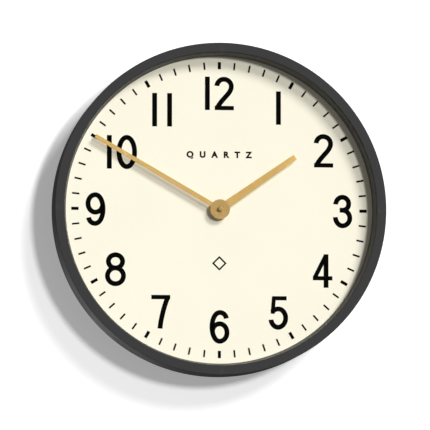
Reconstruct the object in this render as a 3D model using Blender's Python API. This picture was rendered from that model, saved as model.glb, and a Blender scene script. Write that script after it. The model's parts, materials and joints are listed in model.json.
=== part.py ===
"""Round wall clock with a quartz movement: the solids, one named object for each piece.

Run with: blender --background --python part.py

The clock is drawn in millimetres on its own axes: x to the right, y up the dial and z from the wall
towards the reader, with the hands turning about x = y = 0. The empty "clock_axes" carries every
piece and stands those axes up in the world (metres, +Z up, the dial facing -Y), so that the world
origin is the point where the wall screw holds the clock.
"""

from math import cos, pi, radians, sin

import bmesh
import bpy
from mathutils import Euler, Matrix

MM = 0.001
TOUCH = 0.3          # gap left between two pieces that touch
TURNED_STEPS = 72    # sides of the large round pieces

# Driving sizes, in millimetres
CASE_RADIUS = 225.0
CASE_DEPTH = 60.0
RING_WIDTH = 12.7    # the flat front ring
SHEET = 1.2          # steel sheet of the case
HANG_HEIGHT = 186.0  # wall screw above the hands

# Heights above the wall (z), from the back of the clock to the front
RIM_Z = 1.0
HANGER_Z = 3.0
PANEL_Z = 8.0
PANEL_SHEET = 1.0
MOVEMENT_BACK_Z = 13.8
SHELL_SPLIT_Z = 23.7
MOVEMENT_FRONT_Z = 30.3
BOARD_Z = 31.9
DIAL_Z = 35.2
DIAL_FACE_Z = 36.0
BUSHING_TOP_Z = 40.0
HOUR_HAND_Z = 41.0
MINUTE_HAND_Z = 44.4
HAND_SHEET = 0.8
LENS_EDGE_Z = 54.2
LENS_SHEET = 2.4
LENS_RISE = 2.9

# Radii of the parts stacked inside the case
SIGHT_RADIUS = CASE_RADIUS - RING_WIDTH
CASE_INSIDE = CASE_RADIUS - SHEET
DIAL_RADIUS = 219.3
SIGHT_DEPTH_RADIUS = 208.6   # foot of the conical ring, on the dial
LENS_RADIUS = 219.5
PANEL_RADIUS = 222.6
ACCESS = 72.0                # square opening behind the movement

# Hands, shown at ten to two
HOUR_ANGLE = 55.0            # clockwise from twelve
MINUTE_ANGLE = 300.0
HOUR_HAND_LENGTH = 125.6
MINUTE_HAND_LENGTH = 195.5
HAND_BOSS_RADIUS = 13.4

# Movement
SHELL_SIDE = 56.0
SHELL_WALL = 1.2
BAY_CENTRE_Y = -19.0
BAY_HALF_WIDTH = 7.3
CELL_RADIUS = 7.1
CELL_LENGTH = 50.5
CELL_CENTRE_Z = 19.9
PIPE_BORE_RADIUS = 4.2       # hole for the bushing in dial, board and front shell

# Gear trains: module and teeth (wheel, pinion) of each pair
LEAVES = 6                          # leaves of every pinion in the running train
DRIVE_MODULE = 0.40                 # rotor pinion with the intermediate wheel
SECOND_MODULE = 0.49                # intermediate pinion with the second wheel
TRAIN_SPACING = 10.4                # both pairs of the third wheel share it
INTERMEDIATE_TEETH = 30
SECOND_TEETH = 36
THIRD_TEETH = 45
CENTRE_TEETH = 48
MOTION_SPACING = 9.0                # both pairs of the motion wheel share it
MINUTE_TEETH = (30, 10)             # motion wheel, cannon pinion
HOUR_TEETH = (32, 8)                # hour wheel, motion pinion
KNOB_TEETH = 15
THIRD_DIRECTION = 120.0             # from the hands' axis, anticlockwise from x
INTERMEDIATE_DIRECTION = 35.0
ROTOR_DIRECTION = 60.0              # from the intermediate wheel
MOTION_DIRECTION = 180.0
KNOB_DIRECTION = 180.0              # from the motion wheel

THIRD_MODULE = 2 * TRAIN_SPACING / (THIRD_TEETH + LEAVES)
CENTRE_MODULE = 2 * TRAIN_SPACING / (CENTRE_TEETH + LEAVES)
MINUTE_MODULE = 2 * MOTION_SPACING / sum(MINUTE_TEETH)
HOUR_MODULE = 2 * MOTION_SPACING / sum(HOUR_TEETH)


def clear_scene():
    for thing in list(bpy.data.objects):
        bpy.data.objects.remove(thing, do_unlink=True)


def material(name, colour, roughness, metallic=0.0, alpha=1.0):
    made = bpy.data.materials.new(name)
    made.use_nodes = True
    shader = made.node_tree.nodes["Principled BSDF"]
    shader.inputs["Base Color"].default_value = (*colour, 1.0)
    shader.inputs["Roughness"].default_value = roughness
    shader.inputs["Metallic"].default_value = metallic
    shader.inputs["Alpha"].default_value = alpha
    made.diffuse_color = (*colour, alpha)
    return made


def polar(radius, degrees):
    """The point at this distance and direction, anticlockwise from x."""
    return radius * cos(radians(degrees)), radius * sin(radians(degrees))


# ---- simple solids, drawn in millimetres ----------------------------------------------------


def turned(profile, steps=TURNED_STEPS):
    """A solid of revolution about z. A profile that ends on the axis is left open there."""
    bm = bmesh.new()
    verts = [bm.verts.new((radius, 0.0, z)) for radius, z in profile]
    edges = [bm.edges.new(pair) for pair in zip(verts, verts[1:])]
    if profile[0][0] > 0:
        edges.append(bm.edges.new((verts[-1], verts[0])))
    bmesh.ops.spin(bm, geom=verts + edges, cent=(0, 0, 0), axis=(0, 0, 1), angle=2 * pi,
                   steps=steps, use_merge=True)
    bmesh.ops.remove_doubles(bm, verts=bm.verts, dist=0.0005)
    bmesh.ops.recalc_face_normals(bm, faces=bm.faces)
    return bm


def plate(outline, low, high):
    """A flat outline drawn in x and y, made solid from one height to another."""
    bm = bmesh.new()
    face = bm.faces.new([bm.verts.new((x, y, low)) for x, y in outline])
    grown = bmesh.ops.extrude_face_region(bm, geom=[face])
    lifted = [item for item in grown["geom"] if isinstance(item, bmesh.types.BMVert)]
    bmesh.ops.translate(bm, vec=(0, 0, high - low), verts=lifted)
    bmesh.ops.recalc_face_normals(bm, faces=bm.faces)
    return bm


def box(x_range, y_range, z_range):
    corners = [(x_range[0], y_range[0]), (x_range[1], y_range[0]),
               (x_range[1], y_range[1]), (x_range[0], y_range[1])]
    return plate(corners, *z_range)


def rod(radius, low, high, at=(0, 0), steps=16):
    """A round bar along z."""
    outline = [(at[0] + radius * cos(2 * pi * i / steps), at[1] + radius * sin(2 * pi * i / steps))
               for i in range(steps)]
    return plate(outline, low, high)


def tube(outer, inner, low, high, steps=24):
    return turned([(inner, low), (outer, low), (outer, high), (inner, high)], steps)


def toothed(teeth, module, low, high):
    """A spur gear blank with straight-sided teeth; one tooth points along x."""
    pitch_radius = module * teeth / 2
    pitch = 2 * pi / teeth
    root = (pitch_radius - 1.05 * module, 0.27 * pitch)
    tip = (pitch_radius + 0.75 * module, 0.10 * pitch)
    outline = []
    for tooth in range(teeth):
        for radius, swing in ((root[0], -root[1]), (tip[0], -tip[1]), (tip[0], tip[1]), (root[0], root[1])):
            angle = tooth * pitch + swing
            outline.append((radius * cos(angle), radius * sin(angle)))
    return plate(outline, low, high)


def lying_along_x(bm, at):
    """Turn a solid drawn along z to lie along x, and put its middle axis at (y, z)."""
    bmesh.ops.rotate(bm, matrix=Matrix.Rotation(pi / 2, 3, "Y"), verts=bm.verts)
    bmesh.ops.translate(bm, vec=(0, at[0], at[1]), verts=bm.verts)
    return bm


def temporary_object(bm):
    mesh = bpy.data.meshes.new("tool")
    bm.to_mesh(mesh)
    bm.free()
    thing = bpy.data.objects.new("tool", mesh)
    bpy.context.scene.collection.objects.link(thing)
    return thing


def combine(base, add=(), cut=()):
    """Join solids to the base, then cut others out of it, with exact Booleans that are applied."""
    body = temporary_object(base)
    tools = [(temporary_object(bm), "UNION") for bm in add]
    tools += [(temporary_object(bm), "DIFFERENCE") for bm in cut]
    for tool, operation in tools:
        step = body.modifiers.new(operation.lower(), "BOOLEAN")
        step.object = tool
        step.operation = operation
        step.solver = "EXACT"
    graph = bpy.context.evaluated_depsgraph_get()
    joined = bpy.data.meshes.new_from_object(body.evaluated_get(graph))
    for thing in [body] + [tool for tool, _ in tools]:
        bpy.data.objects.remove(thing, do_unlink=True)
    bm = bmesh.new()
    bm.from_mesh(joined)
    bpy.data.meshes.remove(joined)
    bmesh.ops.remove_doubles(bm, verts=bm.verts, dist=0.0005)
    return bm


# ---- placing pieces ------------------------------------------------------------------------


def add_piece(name, bm, finish, axes, at=(0, 0), turn=0.0):
    """Make the named object. Its origin is at `at` in the plane of the wall; turn is in degrees."""
    bmesh.ops.scale(bm, vec=(MM, MM, MM), verts=bm.verts)
    mesh = bpy.data.meshes.new(name)
    bm.to_mesh(mesh)
    bm.free()
    mesh.materials.append(finish)
    mesh.shade_smooth()
    mesh.set_sharp_from_angle(angle=radians(30))
    thing = bpy.data.objects.new(name, mesh)
    bpy.context.scene.collection.objects.link(thing)
    thing.parent = axes
    thing.location = (at[0] * MM, at[1] * MM, 0.0)
    thing.rotation_euler = Euler((0, 0, radians(turn)))
    return thing


def add_copies(name, build, finish, axes, places):
    """One numbered object for each place, a tuple of (x, y, turn)."""
    for number, (x, y, turn) in enumerate(places, start=1):
        add_piece(f"{name}_{number}", build(), finish, axes, (x, y), turn)


def make_axes():
    axes = bpy.data.objects.new("clock_axes", None)
    bpy.context.scene.collection.objects.link(axes)
    axes.location = (0, 0, -HANG_HEIGHT * MM)
    axes.rotation_euler = Euler((pi / 2, 0, 0))
    return axes


# ---- case, glass and dial ------------------------------------------------------------------


def drum_case():
    """Side wall and flat front ring in one spun piece, its inner edge turned back to hold the glass."""
    front, fillet = CASE_DEPTH, 1.5
    return turned([
        (CASE_INSIDE, RIM_Z), (CASE_RADIUS, RIM_Z),
        (CASE_RADIUS, front - fillet), (CASE_RADIUS - 0.3 * fillet, front - 0.3 * fillet),
        (CASE_RADIUS - fillet, front), (SIGHT_RADIUS + 0.6, front), (SIGHT_RADIUS, front - 0.6),
        (SIGHT_RADIUS, front - 2.7), (SIGHT_RADIUS + SHEET, front - 2.7),
        (SIGHT_RADIUS + SHEET, front - SHEET), (CASE_INSIDE, front - SHEET)])


def lens():
    """Round glass that rises a little towards its middle."""
    def rise(radius):
        return LENS_RISE * (1 - (radius / LENS_RADIUS) ** 2)

    radii = (0.0, 90.0, 160.0, LENS_RADIUS)
    back = [(radius, LENS_EDGE_Z + rise(radius)) for radius in radii]
    front = [(radius, LENS_EDGE_Z + LENS_SHEET + rise(radius)) for radius in reversed(radii)]
    return turned(back + front)


def lens_gasket():
    """Rubber ring round the edge of the glass and in front of it."""
    top, glass_front = CASE_DEPTH - SHEET - TOUCH, LENS_EDGE_Z + LENS_SHEET + TOUCH
    inner, outer = SIGHT_RADIUS + SHEET + 0.6, CASE_INSIDE - 1.5
    return turned([(inner, glass_front), (LENS_RADIUS + TOUCH, glass_front),
                   (LENS_RADIUS + TOUCH, LENS_EDGE_Z), (outer, LENS_EDGE_Z), (outer, top), (inner, top)])


def inner_ring():
    """Conical ring that spaces the glass from the dial, with a flange under the glass."""
    top, flange, foot = LENS_EDGE_Z - TOUCH, LENS_RADIUS - 0.5, DIAL_FACE_Z + TOUCH
    return turned([(SIGHT_DEPTH_RADIUS, foot), (SIGHT_DEPTH_RADIUS + 1.1, foot),
                   (SIGHT_RADIUS + 0.8, top - 1), (flange, top - 1), (flange, top),
                   (SIGHT_RADIUS - 0.3, top)])


def dial():
    return tube(DIAL_RADIUS, PIPE_BORE_RADIUS, DIAL_Z, DIAL_FACE_Z, TURNED_STEPS)


def dial_board():
    return tube(DIAL_RADIUS, PIPE_BORE_RADIUS, BOARD_Z, DIAL_Z - TOUCH, TURNED_STEPS)


def board_spacer():
    return rod(6.0, PANEL_Z + PANEL_SHEET + TOUCH, BOARD_Z - TOUCH, steps=20)


# ---- back of the case ----------------------------------------------------------------------

SCREW_RADIUS_AT = 214.0
SCREW_DIRECTIONS = (45, 135, 225, 315)
SPACER_RADIUS_AT = 195.0
BUMPER_DIRECTIONS = (240, 300)
RIVET_X = 26.0


def back_panel():
    """Pressed steel disc with its edge turned back, the movement's opening and the screw holes."""
    inside = PANEL_Z + PANEL_SHEET
    disc = turned([(0, inside), (PANEL_RADIUS, inside), (PANEL_RADIUS, HANGER_Z),
                   (PANEL_RADIUS - PANEL_SHEET, HANGER_Z), (PANEL_RADIUS - PANEL_SHEET, PANEL_Z),
                   (0, PANEL_Z)])
    through = (PANEL_Z - 2, inside + 2)
    half = ACCESS / 2
    cuts = [box((-half, half), (-half, half), through)]
    cuts += [rod(1.8, *through, at=polar(SCREW_RADIUS_AT, d), steps=12) for d in SCREW_DIRECTIONS]
    cuts += [rod(1.8, *through, at=(side * RIVET_X, HANG_HEIGHT - 5), steps=12) for side in (-1, 1)]
    return combine(disc, cut=cuts)


def case_lug():
    """L-shaped tab welded inside the drum, drawn at direction 0, with the hole for its screw."""
    low = PANEL_Z + PANEL_SHEET + TOUCH
    profile = [(-low, 207), (-low, 222.9), (-low - 8, 222.9), (-low - 8, 221.6),
               (-low - 1.3, 221.6), (-low - 1.3, 207)]
    bm = plate(profile, -8, 8)
    bmesh.ops.rotate(bm, matrix=Matrix.Rotation(pi / 2, 3, "Y"), verts=bm.verts)
    bmesh.ops.rotate(bm, matrix=Matrix.Rotation(-pi / 2, 3, "Z"), verts=bm.verts)
    return combine(bm, cut=[rod(1.8, low - 3, low + 4, at=(SCREW_RADIUS_AT, 0), steps=12)])


def pan_screw():
    """Pan-head screw, driven from behind, with a slot in its head."""
    seat = PANEL_Z - TOUCH
    screw = turned([(0, seat - 2.0), (2.2, seat - 2.0), (3.0, seat - 1.2), (3.0, seat), (1.5, seat),
                    (1.5, seat + 6.5), (0, seat + 7.5)], 12)
    return combine(screw, cut=[box((-1.8, 1.8), (-0.4, 0.4), (seat - 3, seat - 0.9))])


def hanger_plate():
    """Raised bridge with a keyhole: the screw's head goes in below and slides up into the slot."""
    seat = PANEL_Z - TOUCH
    outline = [(-31, -seat), (-20, -seat), (-20, -HANGER_Z - 1.2), (20, -HANGER_Z - 1.2), (20, -seat),
               (31, -seat), (31, -seat + 1.2), (21.2, -seat + 1.2), (21.2, -HANGER_Z), (-21.2, -HANGER_Z),
               (-21.2, -seat + 1.2), (-31, -seat + 1.2)]
    bm = plate(outline, -18, 8)
    bmesh.ops.rotate(bm, matrix=Matrix.Rotation(-pi / 2, 3, "X"), verts=bm.verts)
    through = (HANGER_Z - 2, HANGER_Z + 3)
    cuts = [rod(2.3, *through, at=(0, 0), steps=16), box((-2.3, 2.3), (-10, 0), through),
            rod(5.0, *through, at=(0, -10), steps=24)]
    cuts += [rod(1.8, seat - 3, seat + 1, at=(side * RIVET_X, -5), steps=12) for side in (-1, 1)]
    return combine(bm, cut=cuts)


def hanger_rivet():
    foot, inside = PANEL_Z - TOUCH - 1.2, PANEL_Z + PANEL_SHEET
    return turned([(0, foot - 1.9), (1.8, foot - 1.9), (3.0, foot - TOUCH), (1.5, foot - TOUCH),
                   (1.5, inside + TOUCH), (2.6, inside + TOUCH), (2.6, inside + 1.1), (0, inside + 1.1)], 16)


def wall_bumper():
    """Rubber foot that rests on the wall."""
    return turned([(0, 0), (5.5, 0), (6.0, 0.5), (6.5, PANEL_Z - TOUCH), (0, PANEL_Z - TOUCH)], 24)


# ---- movement housing ----------------------------------------------------------------------


def shell_front():
    """Front half of the plastic housing, with the hole for the bushing."""
    half, inside = SHELL_SIDE / 2, SHELL_SIDE / 2 - SHELL_WALL
    low = SHELL_SPLIT_Z + TOUCH
    return combine(box((-half, half), (-half, half), (low, MOVEMENT_FRONT_Z)),
                   cut=[box((-inside, inside), (-inside, inside), (low - 1, MOVEMENT_FRONT_Z - SHELL_WALL)),
                        rod(PIPE_BORE_RADIUS, MOVEMENT_FRONT_Z - 3, MOVEMENT_FRONT_Z + 1, steps=24)])


def shell_rear():
    """Rear half of the housing: gear space above, battery bay below, open to the back."""
    half, inside = SHELL_SIDE / 2, SHELL_SIDE / 2 - SHELL_WALL
    bay_top = BAY_CENTRE_Y + BAY_HALF_WIDTH
    bay_low = BAY_CENTRE_Y - BAY_HALF_WIDTH
    bay_floor = CELL_CENTRE_Z + CELL_RADIUS + TOUCH
    shell = box((-half, half), (-half, half), (MOVEMENT_BACK_Z, SHELL_SPLIT_Z))
    tongue = box((-inside + TOUCH, inside - TOUCH), (-inside + TOUCH, bay_top + 1),
                 (MOVEMENT_BACK_Z + 1, bay_floor + 1.1))
    gear_space = box((-inside, inside), (bay_top + 1, inside), (MOVEMENT_BACK_Z + SHELL_WALL, bay_floor + 3))
    bay_half = inside - TOUCH - 0.2
    battery_bay = box((-bay_half, bay_half), (bay_low, bay_top), (MOVEMENT_BACK_Z - 1, bay_floor))
    posts = [rod(1.8, MOVEMENT_BACK_Z + 1, BRIDGE_Z - TOUCH, at=at, steps=12) for at in BRIDGE_POSTS]
    hole = rod(1.8, MOVEMENT_BACK_Z - 1, MOVEMENT_BACK_Z + 3, at=KNOB_AT, steps=16)
    hollow = combine(shell, add=[tongue], cut=[gear_space, battery_bay, hole])
    return combine(hollow, add=posts)


def mounting_bushing():
    """Brass pipe with a flange inside the housing; the hexagon nut clamps the dial on it."""
    flange = MOVEMENT_FRONT_Z - SHELL_WALL - TOUCH
    return turned([(2.9, flange - 0.6), (6.0, flange - 0.6), (6.0, flange), (3.9, flange),
                   (3.9, BUSHING_TOP_Z), (2.9, BUSHING_TOP_Z)], 24)


def hex_nut():
    low = DIAL_FACE_Z + 2 * TOUCH + 0.5
    corners = [polar(6.9, 60 * i) for i in range(6)]
    return combine(plate(corners, low, low + 2.5), cut=[rod(PIPE_BORE_RADIUS, low - 1, low + 4, steps=24)])


def brass_washer():
    return tube(8.0, PIPE_BORE_RADIUS, DIAL_FACE_Z + TOUCH, DIAL_FACE_Z + TOUCH + 0.5)


def rubber_washer():
    return tube(10.0, PIPE_BORE_RADIUS, MOVEMENT_FRONT_Z + TOUCH, BOARD_Z - TOUCH)


# ---- drive: battery, circuit, coil and stator -------------------------------------------------


def battery_cell():
    """AA cell along x, its raised contact to the right."""
    half = CELL_LENGTH / 2
    cell = turned([(0, -half), (5.5, -half), (CELL_RADIUS, -half + 1.0), (CELL_RADIUS, half - 2.5),
                   (CELL_RADIUS - 0.8, half - 1.5), (2.75, half - 1.5), (2.75, half), (0, half)], 24)
    return lying_along_x(cell, (0, CELL_CENTRE_Z))


def contact(side):
    """Bent leaf at one end of the battery bay; side is 1 at the raised contact."""
    outer = SHELL_SIDE / 2 - SHELL_WALL - 2 * TOUCH - 0.1
    edges = sorted((side * outer, side * (outer - 0.35)))
    return box(edges, (BAY_CENTRE_Y - 4, BAY_CENTRE_Y + 4), (MOVEMENT_BACK_Z + 1.5, CELL_CENTRE_Z + 6))


BOARD_LOW_Z = 16.0
COIL_Y = 21.0
COIL_Z = 22.7
COIL_RANGE = (10.8, 19.8)
STATOR_Z = (20.9, 21.9)


def circuit_board():
    return box((-21.8, -8.2), (10.5, 26), (BOARD_LOW_Z, BOARD_LOW_Z + 0.8))


def control_chip():
    """Round drop of resin over the chip."""
    low = BOARD_LOW_Z + 0.8 + TOUCH
    return turned([(0, low), (3.2, low), (2.6, low + 0.8), (1.2, low + 1.3), (0, low + 1.4)], 16)


def quartz_crystal():
    """Tuning-fork crystal in its small round can."""
    can = turned([(0, -3), (1.0, -3), (1.05, -2.4), (1.05, 2.6), (0.8, 3), (0, 3)], 16)
    return lying_along_x(can, (0, BOARD_LOW_Z + 0.8 + TOUCH + 1.05))


def stator():
    """Soft-iron plate: a body round the rotor and two legs up to the coil core."""
    outline = [(5.6, 7.4), (25, 7.4), (25, 24), (21.4, 24), (21.4, 16.6), (9.2, 16.6), (9.2, 24), (5.6, 24)]
    return combine(plate(outline, *STATOR_Z), cut=[rod(3.5, 18, 24, at=ROTOR_AT, steps=24)])


def coil_core():
    return box((5.6, 25), (COIL_Y - 1.5, COIL_Y + 1.5), (COIL_Z - 0.5, COIL_Z + 0.5))


def coil_bobbin():
    """Square tube with a flange at each end, round the core."""
    first, last = COIL_RANGE[0] - TOUCH, COIL_RANGE[1] + TOUCH
    flanges = [box((x, x + 0.6), (COIL_Y - 4, COIL_Y + 4), (COIL_Z - 4 + 2.4, COIL_Z + 4))
               for x in (first - 0.6, last)]
    sleeve = box((first - 0.3, last + 0.3), (COIL_Y - 2.3, COIL_Y + 2.3), (COIL_Z - 1.3, COIL_Z + 1.3))
    core_space = box((first - 2, last + 2), (COIL_Y - 1.8, COIL_Y + 1.8), (COIL_Z - 0.8, COIL_Z + 0.8))
    return combine(sleeve, add=flanges, cut=[core_space])


def coil_winding():
    wound = lying_along_x(rod(3.7, COIL_RANGE[0], COIL_RANGE[1], steps=20), (COIL_Y, COIL_Z))
    return combine(wound, cut=[box((COIL_RANGE[0] - 1, COIL_RANGE[1] + 1), (COIL_Y - 2.6, COIL_Y + 2.6),
                                   (COIL_Z - 1.6, COIL_Z + 1.6))])


# ---- gear trains ---------------------------------------------------------------------------

BRIDGE_Z = 23.9
BRIDGE_SHEET = 0.8
BRIDGE_POSTS = ((-24.0, -8.5), (24.0, -8.5), (-24.0, 14.0), (24.0, 4.5))
ARBOR_RADIUS = 0.5
ARBOR_LOW_Z = MOVEMENT_BACK_Z + SHELL_WALL + TOUCH

INTERMEDIATE_SPACING = SECOND_MODULE * (SECOND_TEETH + LEAVES) / 2
ROTOR_SPACING = DRIVE_MODULE * (INTERMEDIATE_TEETH + LEAVES) / 2
KNOB_SPACING = MINUTE_MODULE * (MINUTE_TEETH[0] + KNOB_TEETH) / 2


def offset(start, radius, degrees):
    x, y = polar(radius, degrees)
    return start[0] + x, start[1] + y


CENTRE_AT = (0.0, 0.0)
THIRD_AT = offset(CENTRE_AT, TRAIN_SPACING, THIRD_DIRECTION)
INTERMEDIATE_AT = offset(CENTRE_AT, INTERMEDIATE_SPACING, INTERMEDIATE_DIRECTION)
ROTOR_AT = offset(INTERMEDIATE_AT, ROTOR_SPACING, ROTOR_DIRECTION)
MOTION_AT = offset(CENTRE_AT, MOTION_SPACING, MOTION_DIRECTION)
KNOB_AT = offset(MOTION_AT, KNOB_SPACING, KNOB_DIRECTION)


def meshing_turn(direction, driver_teeth, driver_turn, teeth):
    """Turn of a gear that puts its tooth gap on the driver's tooth; direction is from the driver."""
    phase = (direction - driver_turn) * driver_teeth / 360
    return direction + 180 - (0.5 - phase) * 360 / teeth


def train_bridge():
    """Plate between the running train and the motion work, with a hole for every arbor."""
    inside = SHELL_SIDE / 2 - SHELL_WALL - TOUCH
    levels = (BRIDGE_Z, BRIDGE_Z + BRIDGE_SHEET)
    sheet = box((-inside, inside), (-10.4, 16.2), levels)
    holes = [(CENTRE_AT, 1.3), (THIRD_AT, 0.75), (INTERMEDIATE_AT, 0.75), (ROTOR_AT, 0.75),
             (MOTION_AT, 0.75), (KNOB_AT, 1.8)]
    return combine(sheet, cut=[rod(radius, BRIDGE_Z - 1, BRIDGE_Z + 2, at=at, steps=12)
                               for at, radius in holes])


def rotor():
    """Magnet, small pinion and arbor of the stepping motor."""
    return combine(rod(2.9, 20.2, 22.6, steps=20),
                   add=[toothed(LEAVES, DRIVE_MODULE, 17.0, 18.4),
                        rod(ARBOR_RADIUS, ARBOR_LOW_Z, BRIDGE_Z + 0.5, steps=10)])


def intermediate_wheel():
    return combine(toothed(INTERMEDIATE_TEETH, DRIVE_MODULE, 17.4, 18.0),
                   add=[toothed(LEAVES, SECOND_MODULE, 17.8, 20.0),
                        rod(ARBOR_RADIUS, ARBOR_LOW_Z, BRIDGE_Z + 0.5, steps=10)])


def second_wheel():
    """Turns once a minute; its arbor runs up inside the minute pipe."""
    return combine(toothed(SECOND_TEETH, SECOND_MODULE, 19.0, 19.6),
                   add=[toothed(LEAVES, THIRD_MODULE, 19.4, 21.6),
                        rod(0.45, ARBOR_LOW_Z, MINUTE_HAND_Z + 0.6, steps=10)])


def third_wheel():
    return combine(toothed(THIRD_TEETH, THIRD_MODULE, 20.6, 21.2),
                   add=[toothed(LEAVES, CENTRE_MODULE, 21.0, 23.6),
                        rod(ARBOR_RADIUS, ARBOR_LOW_Z, BRIDGE_Z + 0.5, steps=10)])


def centre_wheel():
    """Turns once an hour; its hub reaches into the minute pipe, where it grips by friction."""
    return combine(toothed(CENTRE_TEETH, CENTRE_MODULE, 22.4, 23.2), add=[rod(0.95, 22.2, 26.2, steps=16)],
                   cut=[rod(0.65, 21, 28, steps=16)])


def cannon_pinion():
    """Minute pipe with the pinion that drives the motion wheel."""
    return combine(toothed(MINUTE_TEETH[1], MINUTE_MODULE, 25.4, 26.4),
                   add=[rod(1.75, 25.1, MINUTE_HAND_Z + HAND_SHEET + 1.0, steps=20)],
                   cut=[rod(1.15, 24, 50, steps=16)])


def motion_wheel():
    return combine(toothed(MINUTE_TEETH[0], MINUTE_MODULE, 25.5, 26.3),
                   add=[toothed(HOUR_TEETH[1], HOUR_MODULE, 26.1, 28.0),
                        rod(ARBOR_RADIUS, BRIDGE_Z + 0.2, 28.8, steps=10)])


def hour_wheel():
    """Hour pipe that runs between the minute pipe and the bushing."""
    return combine(toothed(HOUR_TEETH[0], HOUR_MODULE, 26.9, 27.8),
                   add=[rod(2.6, 26.7, HOUR_HAND_Z + HAND_SHEET + 0.5, steps=20)],
                   cut=[rod(2.0, 25, 50, steps=20)])


def setting_knob():
    """Gear in mesh with the motion wheel, a shaft through the housing and a knob behind it."""
    back = MOVEMENT_BACK_Z - TOUCH
    flutes = [polar(5.5 if i % 2 else 5.0, 15 * i) for i in range(24)]
    return combine(toothed(KNOB_TEETH, MINUTE_MODULE, 25.4, 26.4),
                   add=[rod(1.4, back - 1, 25.9, steps=12), plate(flutes, back - 3.2, back)])


# ---- hands ---------------------------------------------------------------------------------


def hand(length, root_width, tip_width, low, bore):
    """Flat hand along y with a round boss; the blade tapers to a square end."""
    blade = plate([(-root_width / 2, 0), (root_width / 2, 0), (tip_width / 2, length), (-tip_width / 2, length)],
                  low, low + HAND_SHEET)
    boss = rod(HAND_BOSS_RADIUS, low, low + HAND_SHEET, steps=48)
    return combine(boss, add=[blade], cut=[rod(bore, low - 1, low + 2, steps=20)])


def hand_nut():
    """Closed cap over the end of the minute pipe."""
    low = MINUTE_HAND_Z + HAND_SHEET + TOUCH
    return turned([(1.95, low), (3.5, low), (3.5, low + 2.0), (2.8, low + 2.7), (0, low + 2.7), (0, low + 1.2),
                   (1.95, low + 1.2)], 24)


# ---- assembly ------------------------------------------------------------------------------


def make_materials():
    return {
        "case": material("case_paint", (0.052, 0.052, 0.052), 0.45),
        "glass": material("clear_glass", (0.9, 0.95, 0.95), 0.05, alpha=0.15),
        "rubber": material("black_rubber", (0.02, 0.02, 0.02), 0.8),
        "dial": material("dial_cream", (0.95, 0.92, 0.80), 0.5),
        "board": material("fibre_board", (0.30, 0.19, 0.10), 0.9),
        "foam": material("white_spacer", (0.75, 0.74, 0.70), 0.7),
        "steel": material("zinc_steel", (0.55, 0.55, 0.56), 0.35, 1.0),
        "shell": material("black_plastic", (0.02, 0.02, 0.022), 0.5),
        "brass": material("brass", (0.72, 0.53, 0.25), 0.3, 1.0),
        "gold": material("hand_gold", (0.60, 0.40, 0.13), 0.45, 0.6),
        "gear": material("white_gear_plastic", (0.85, 0.83, 0.76), 0.45),
        "copper": material("copper_wire", (0.72, 0.32, 0.16), 0.4, 1.0),
        "iron": material("soft_iron", (0.40, 0.40, 0.40), 0.45, 1.0),
        "magnet": material("rotor_magnet", (0.12, 0.12, 0.13), 0.4, 0.5),
        "circuit": material("circuit_board", (0.05, 0.20, 0.08), 0.5),
        "cell": material("battery_sleeve", (0.10, 0.10, 0.11), 0.35, 0.3),
        "knob": material("knob_plastic", (0.05, 0.05, 0.055), 0.5),
    }


def build_case(axes, finish):
    add_piece("drum_case", drum_case(), finish["case"], axes)
    add_piece("lens", lens(), finish["glass"], axes)
    add_piece("lens_gasket", lens_gasket(), finish["rubber"], axes)
    add_piece("inner_ring", inner_ring(), finish["case"], axes)
    add_piece("dial", dial(), finish["dial"], axes)
    add_piece("dial_board", dial_board(), finish["board"], axes)
    corners = [(*polar(SPACER_RADIUS_AT, d), 0) for d in SCREW_DIRECTIONS]
    add_copies("board_spacer", board_spacer, finish["foam"], axes, corners)


def build_back(axes, finish):
    add_piece("back_panel", back_panel(), finish["case"], axes)
    add_copies("case_lug", case_lug, finish["steel"], axes, [(0, 0, d) for d in SCREW_DIRECTIONS])
    add_copies("back_screw", pan_screw, finish["steel"], axes,
               [(*polar(SCREW_RADIUS_AT, d), d) for d in SCREW_DIRECTIONS])
    add_piece("hanger_plate", hanger_plate(), finish["steel"], axes, (0, HANG_HEIGHT))
    add_copies("hanger_rivet", hanger_rivet, finish["steel"], axes,
               [(side * RIVET_X, HANG_HEIGHT - 5, 0) for side in (-1, 1)])
    add_copies("wall_bumper", wall_bumper, finish["rubber"], axes,
               [(*polar(SPACER_RADIUS_AT, d), 0) for d in BUMPER_DIRECTIONS])


def build_movement(axes, finish):
    add_piece("shell_front", shell_front(), finish["shell"], axes)
    add_piece("shell_rear", shell_rear(), finish["shell"], axes)
    add_piece("mounting_bushing", mounting_bushing(), finish["brass"], axes)
    add_piece("hex_nut", hex_nut(), finish["brass"], axes)
    add_piece("brass_washer", brass_washer(), finish["brass"], axes)
    add_piece("rubber_washer", rubber_washer(), finish["rubber"], axes)
    add_piece("train_bridge", train_bridge(), finish["gear"], axes)
    add_piece("circuit_board", circuit_board(), finish["circuit"], axes)
    add_piece("control_chip", control_chip(), finish["shell"], axes, (-13.5, 15.0))
    add_piece("quartz_crystal", quartz_crystal(), finish["steel"], axes, (-17.5, 22.5))
    add_piece("stator", stator(), finish["iron"], axes)
    add_piece("coil_core", coil_core(), finish["iron"], axes)
    add_piece("coil_bobbin", coil_bobbin(), finish["gear"], axes)
    add_piece("coil_winding", coil_winding(), finish["copper"], axes)
    add_piece("contact_positive", contact(1), finish["steel"], axes)
    add_piece("contact_negative", contact(-1), finish["steel"], axes)
    add_piece("battery_cell", battery_cell(), finish["cell"], axes, (0, BAY_CENTRE_Y))


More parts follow.
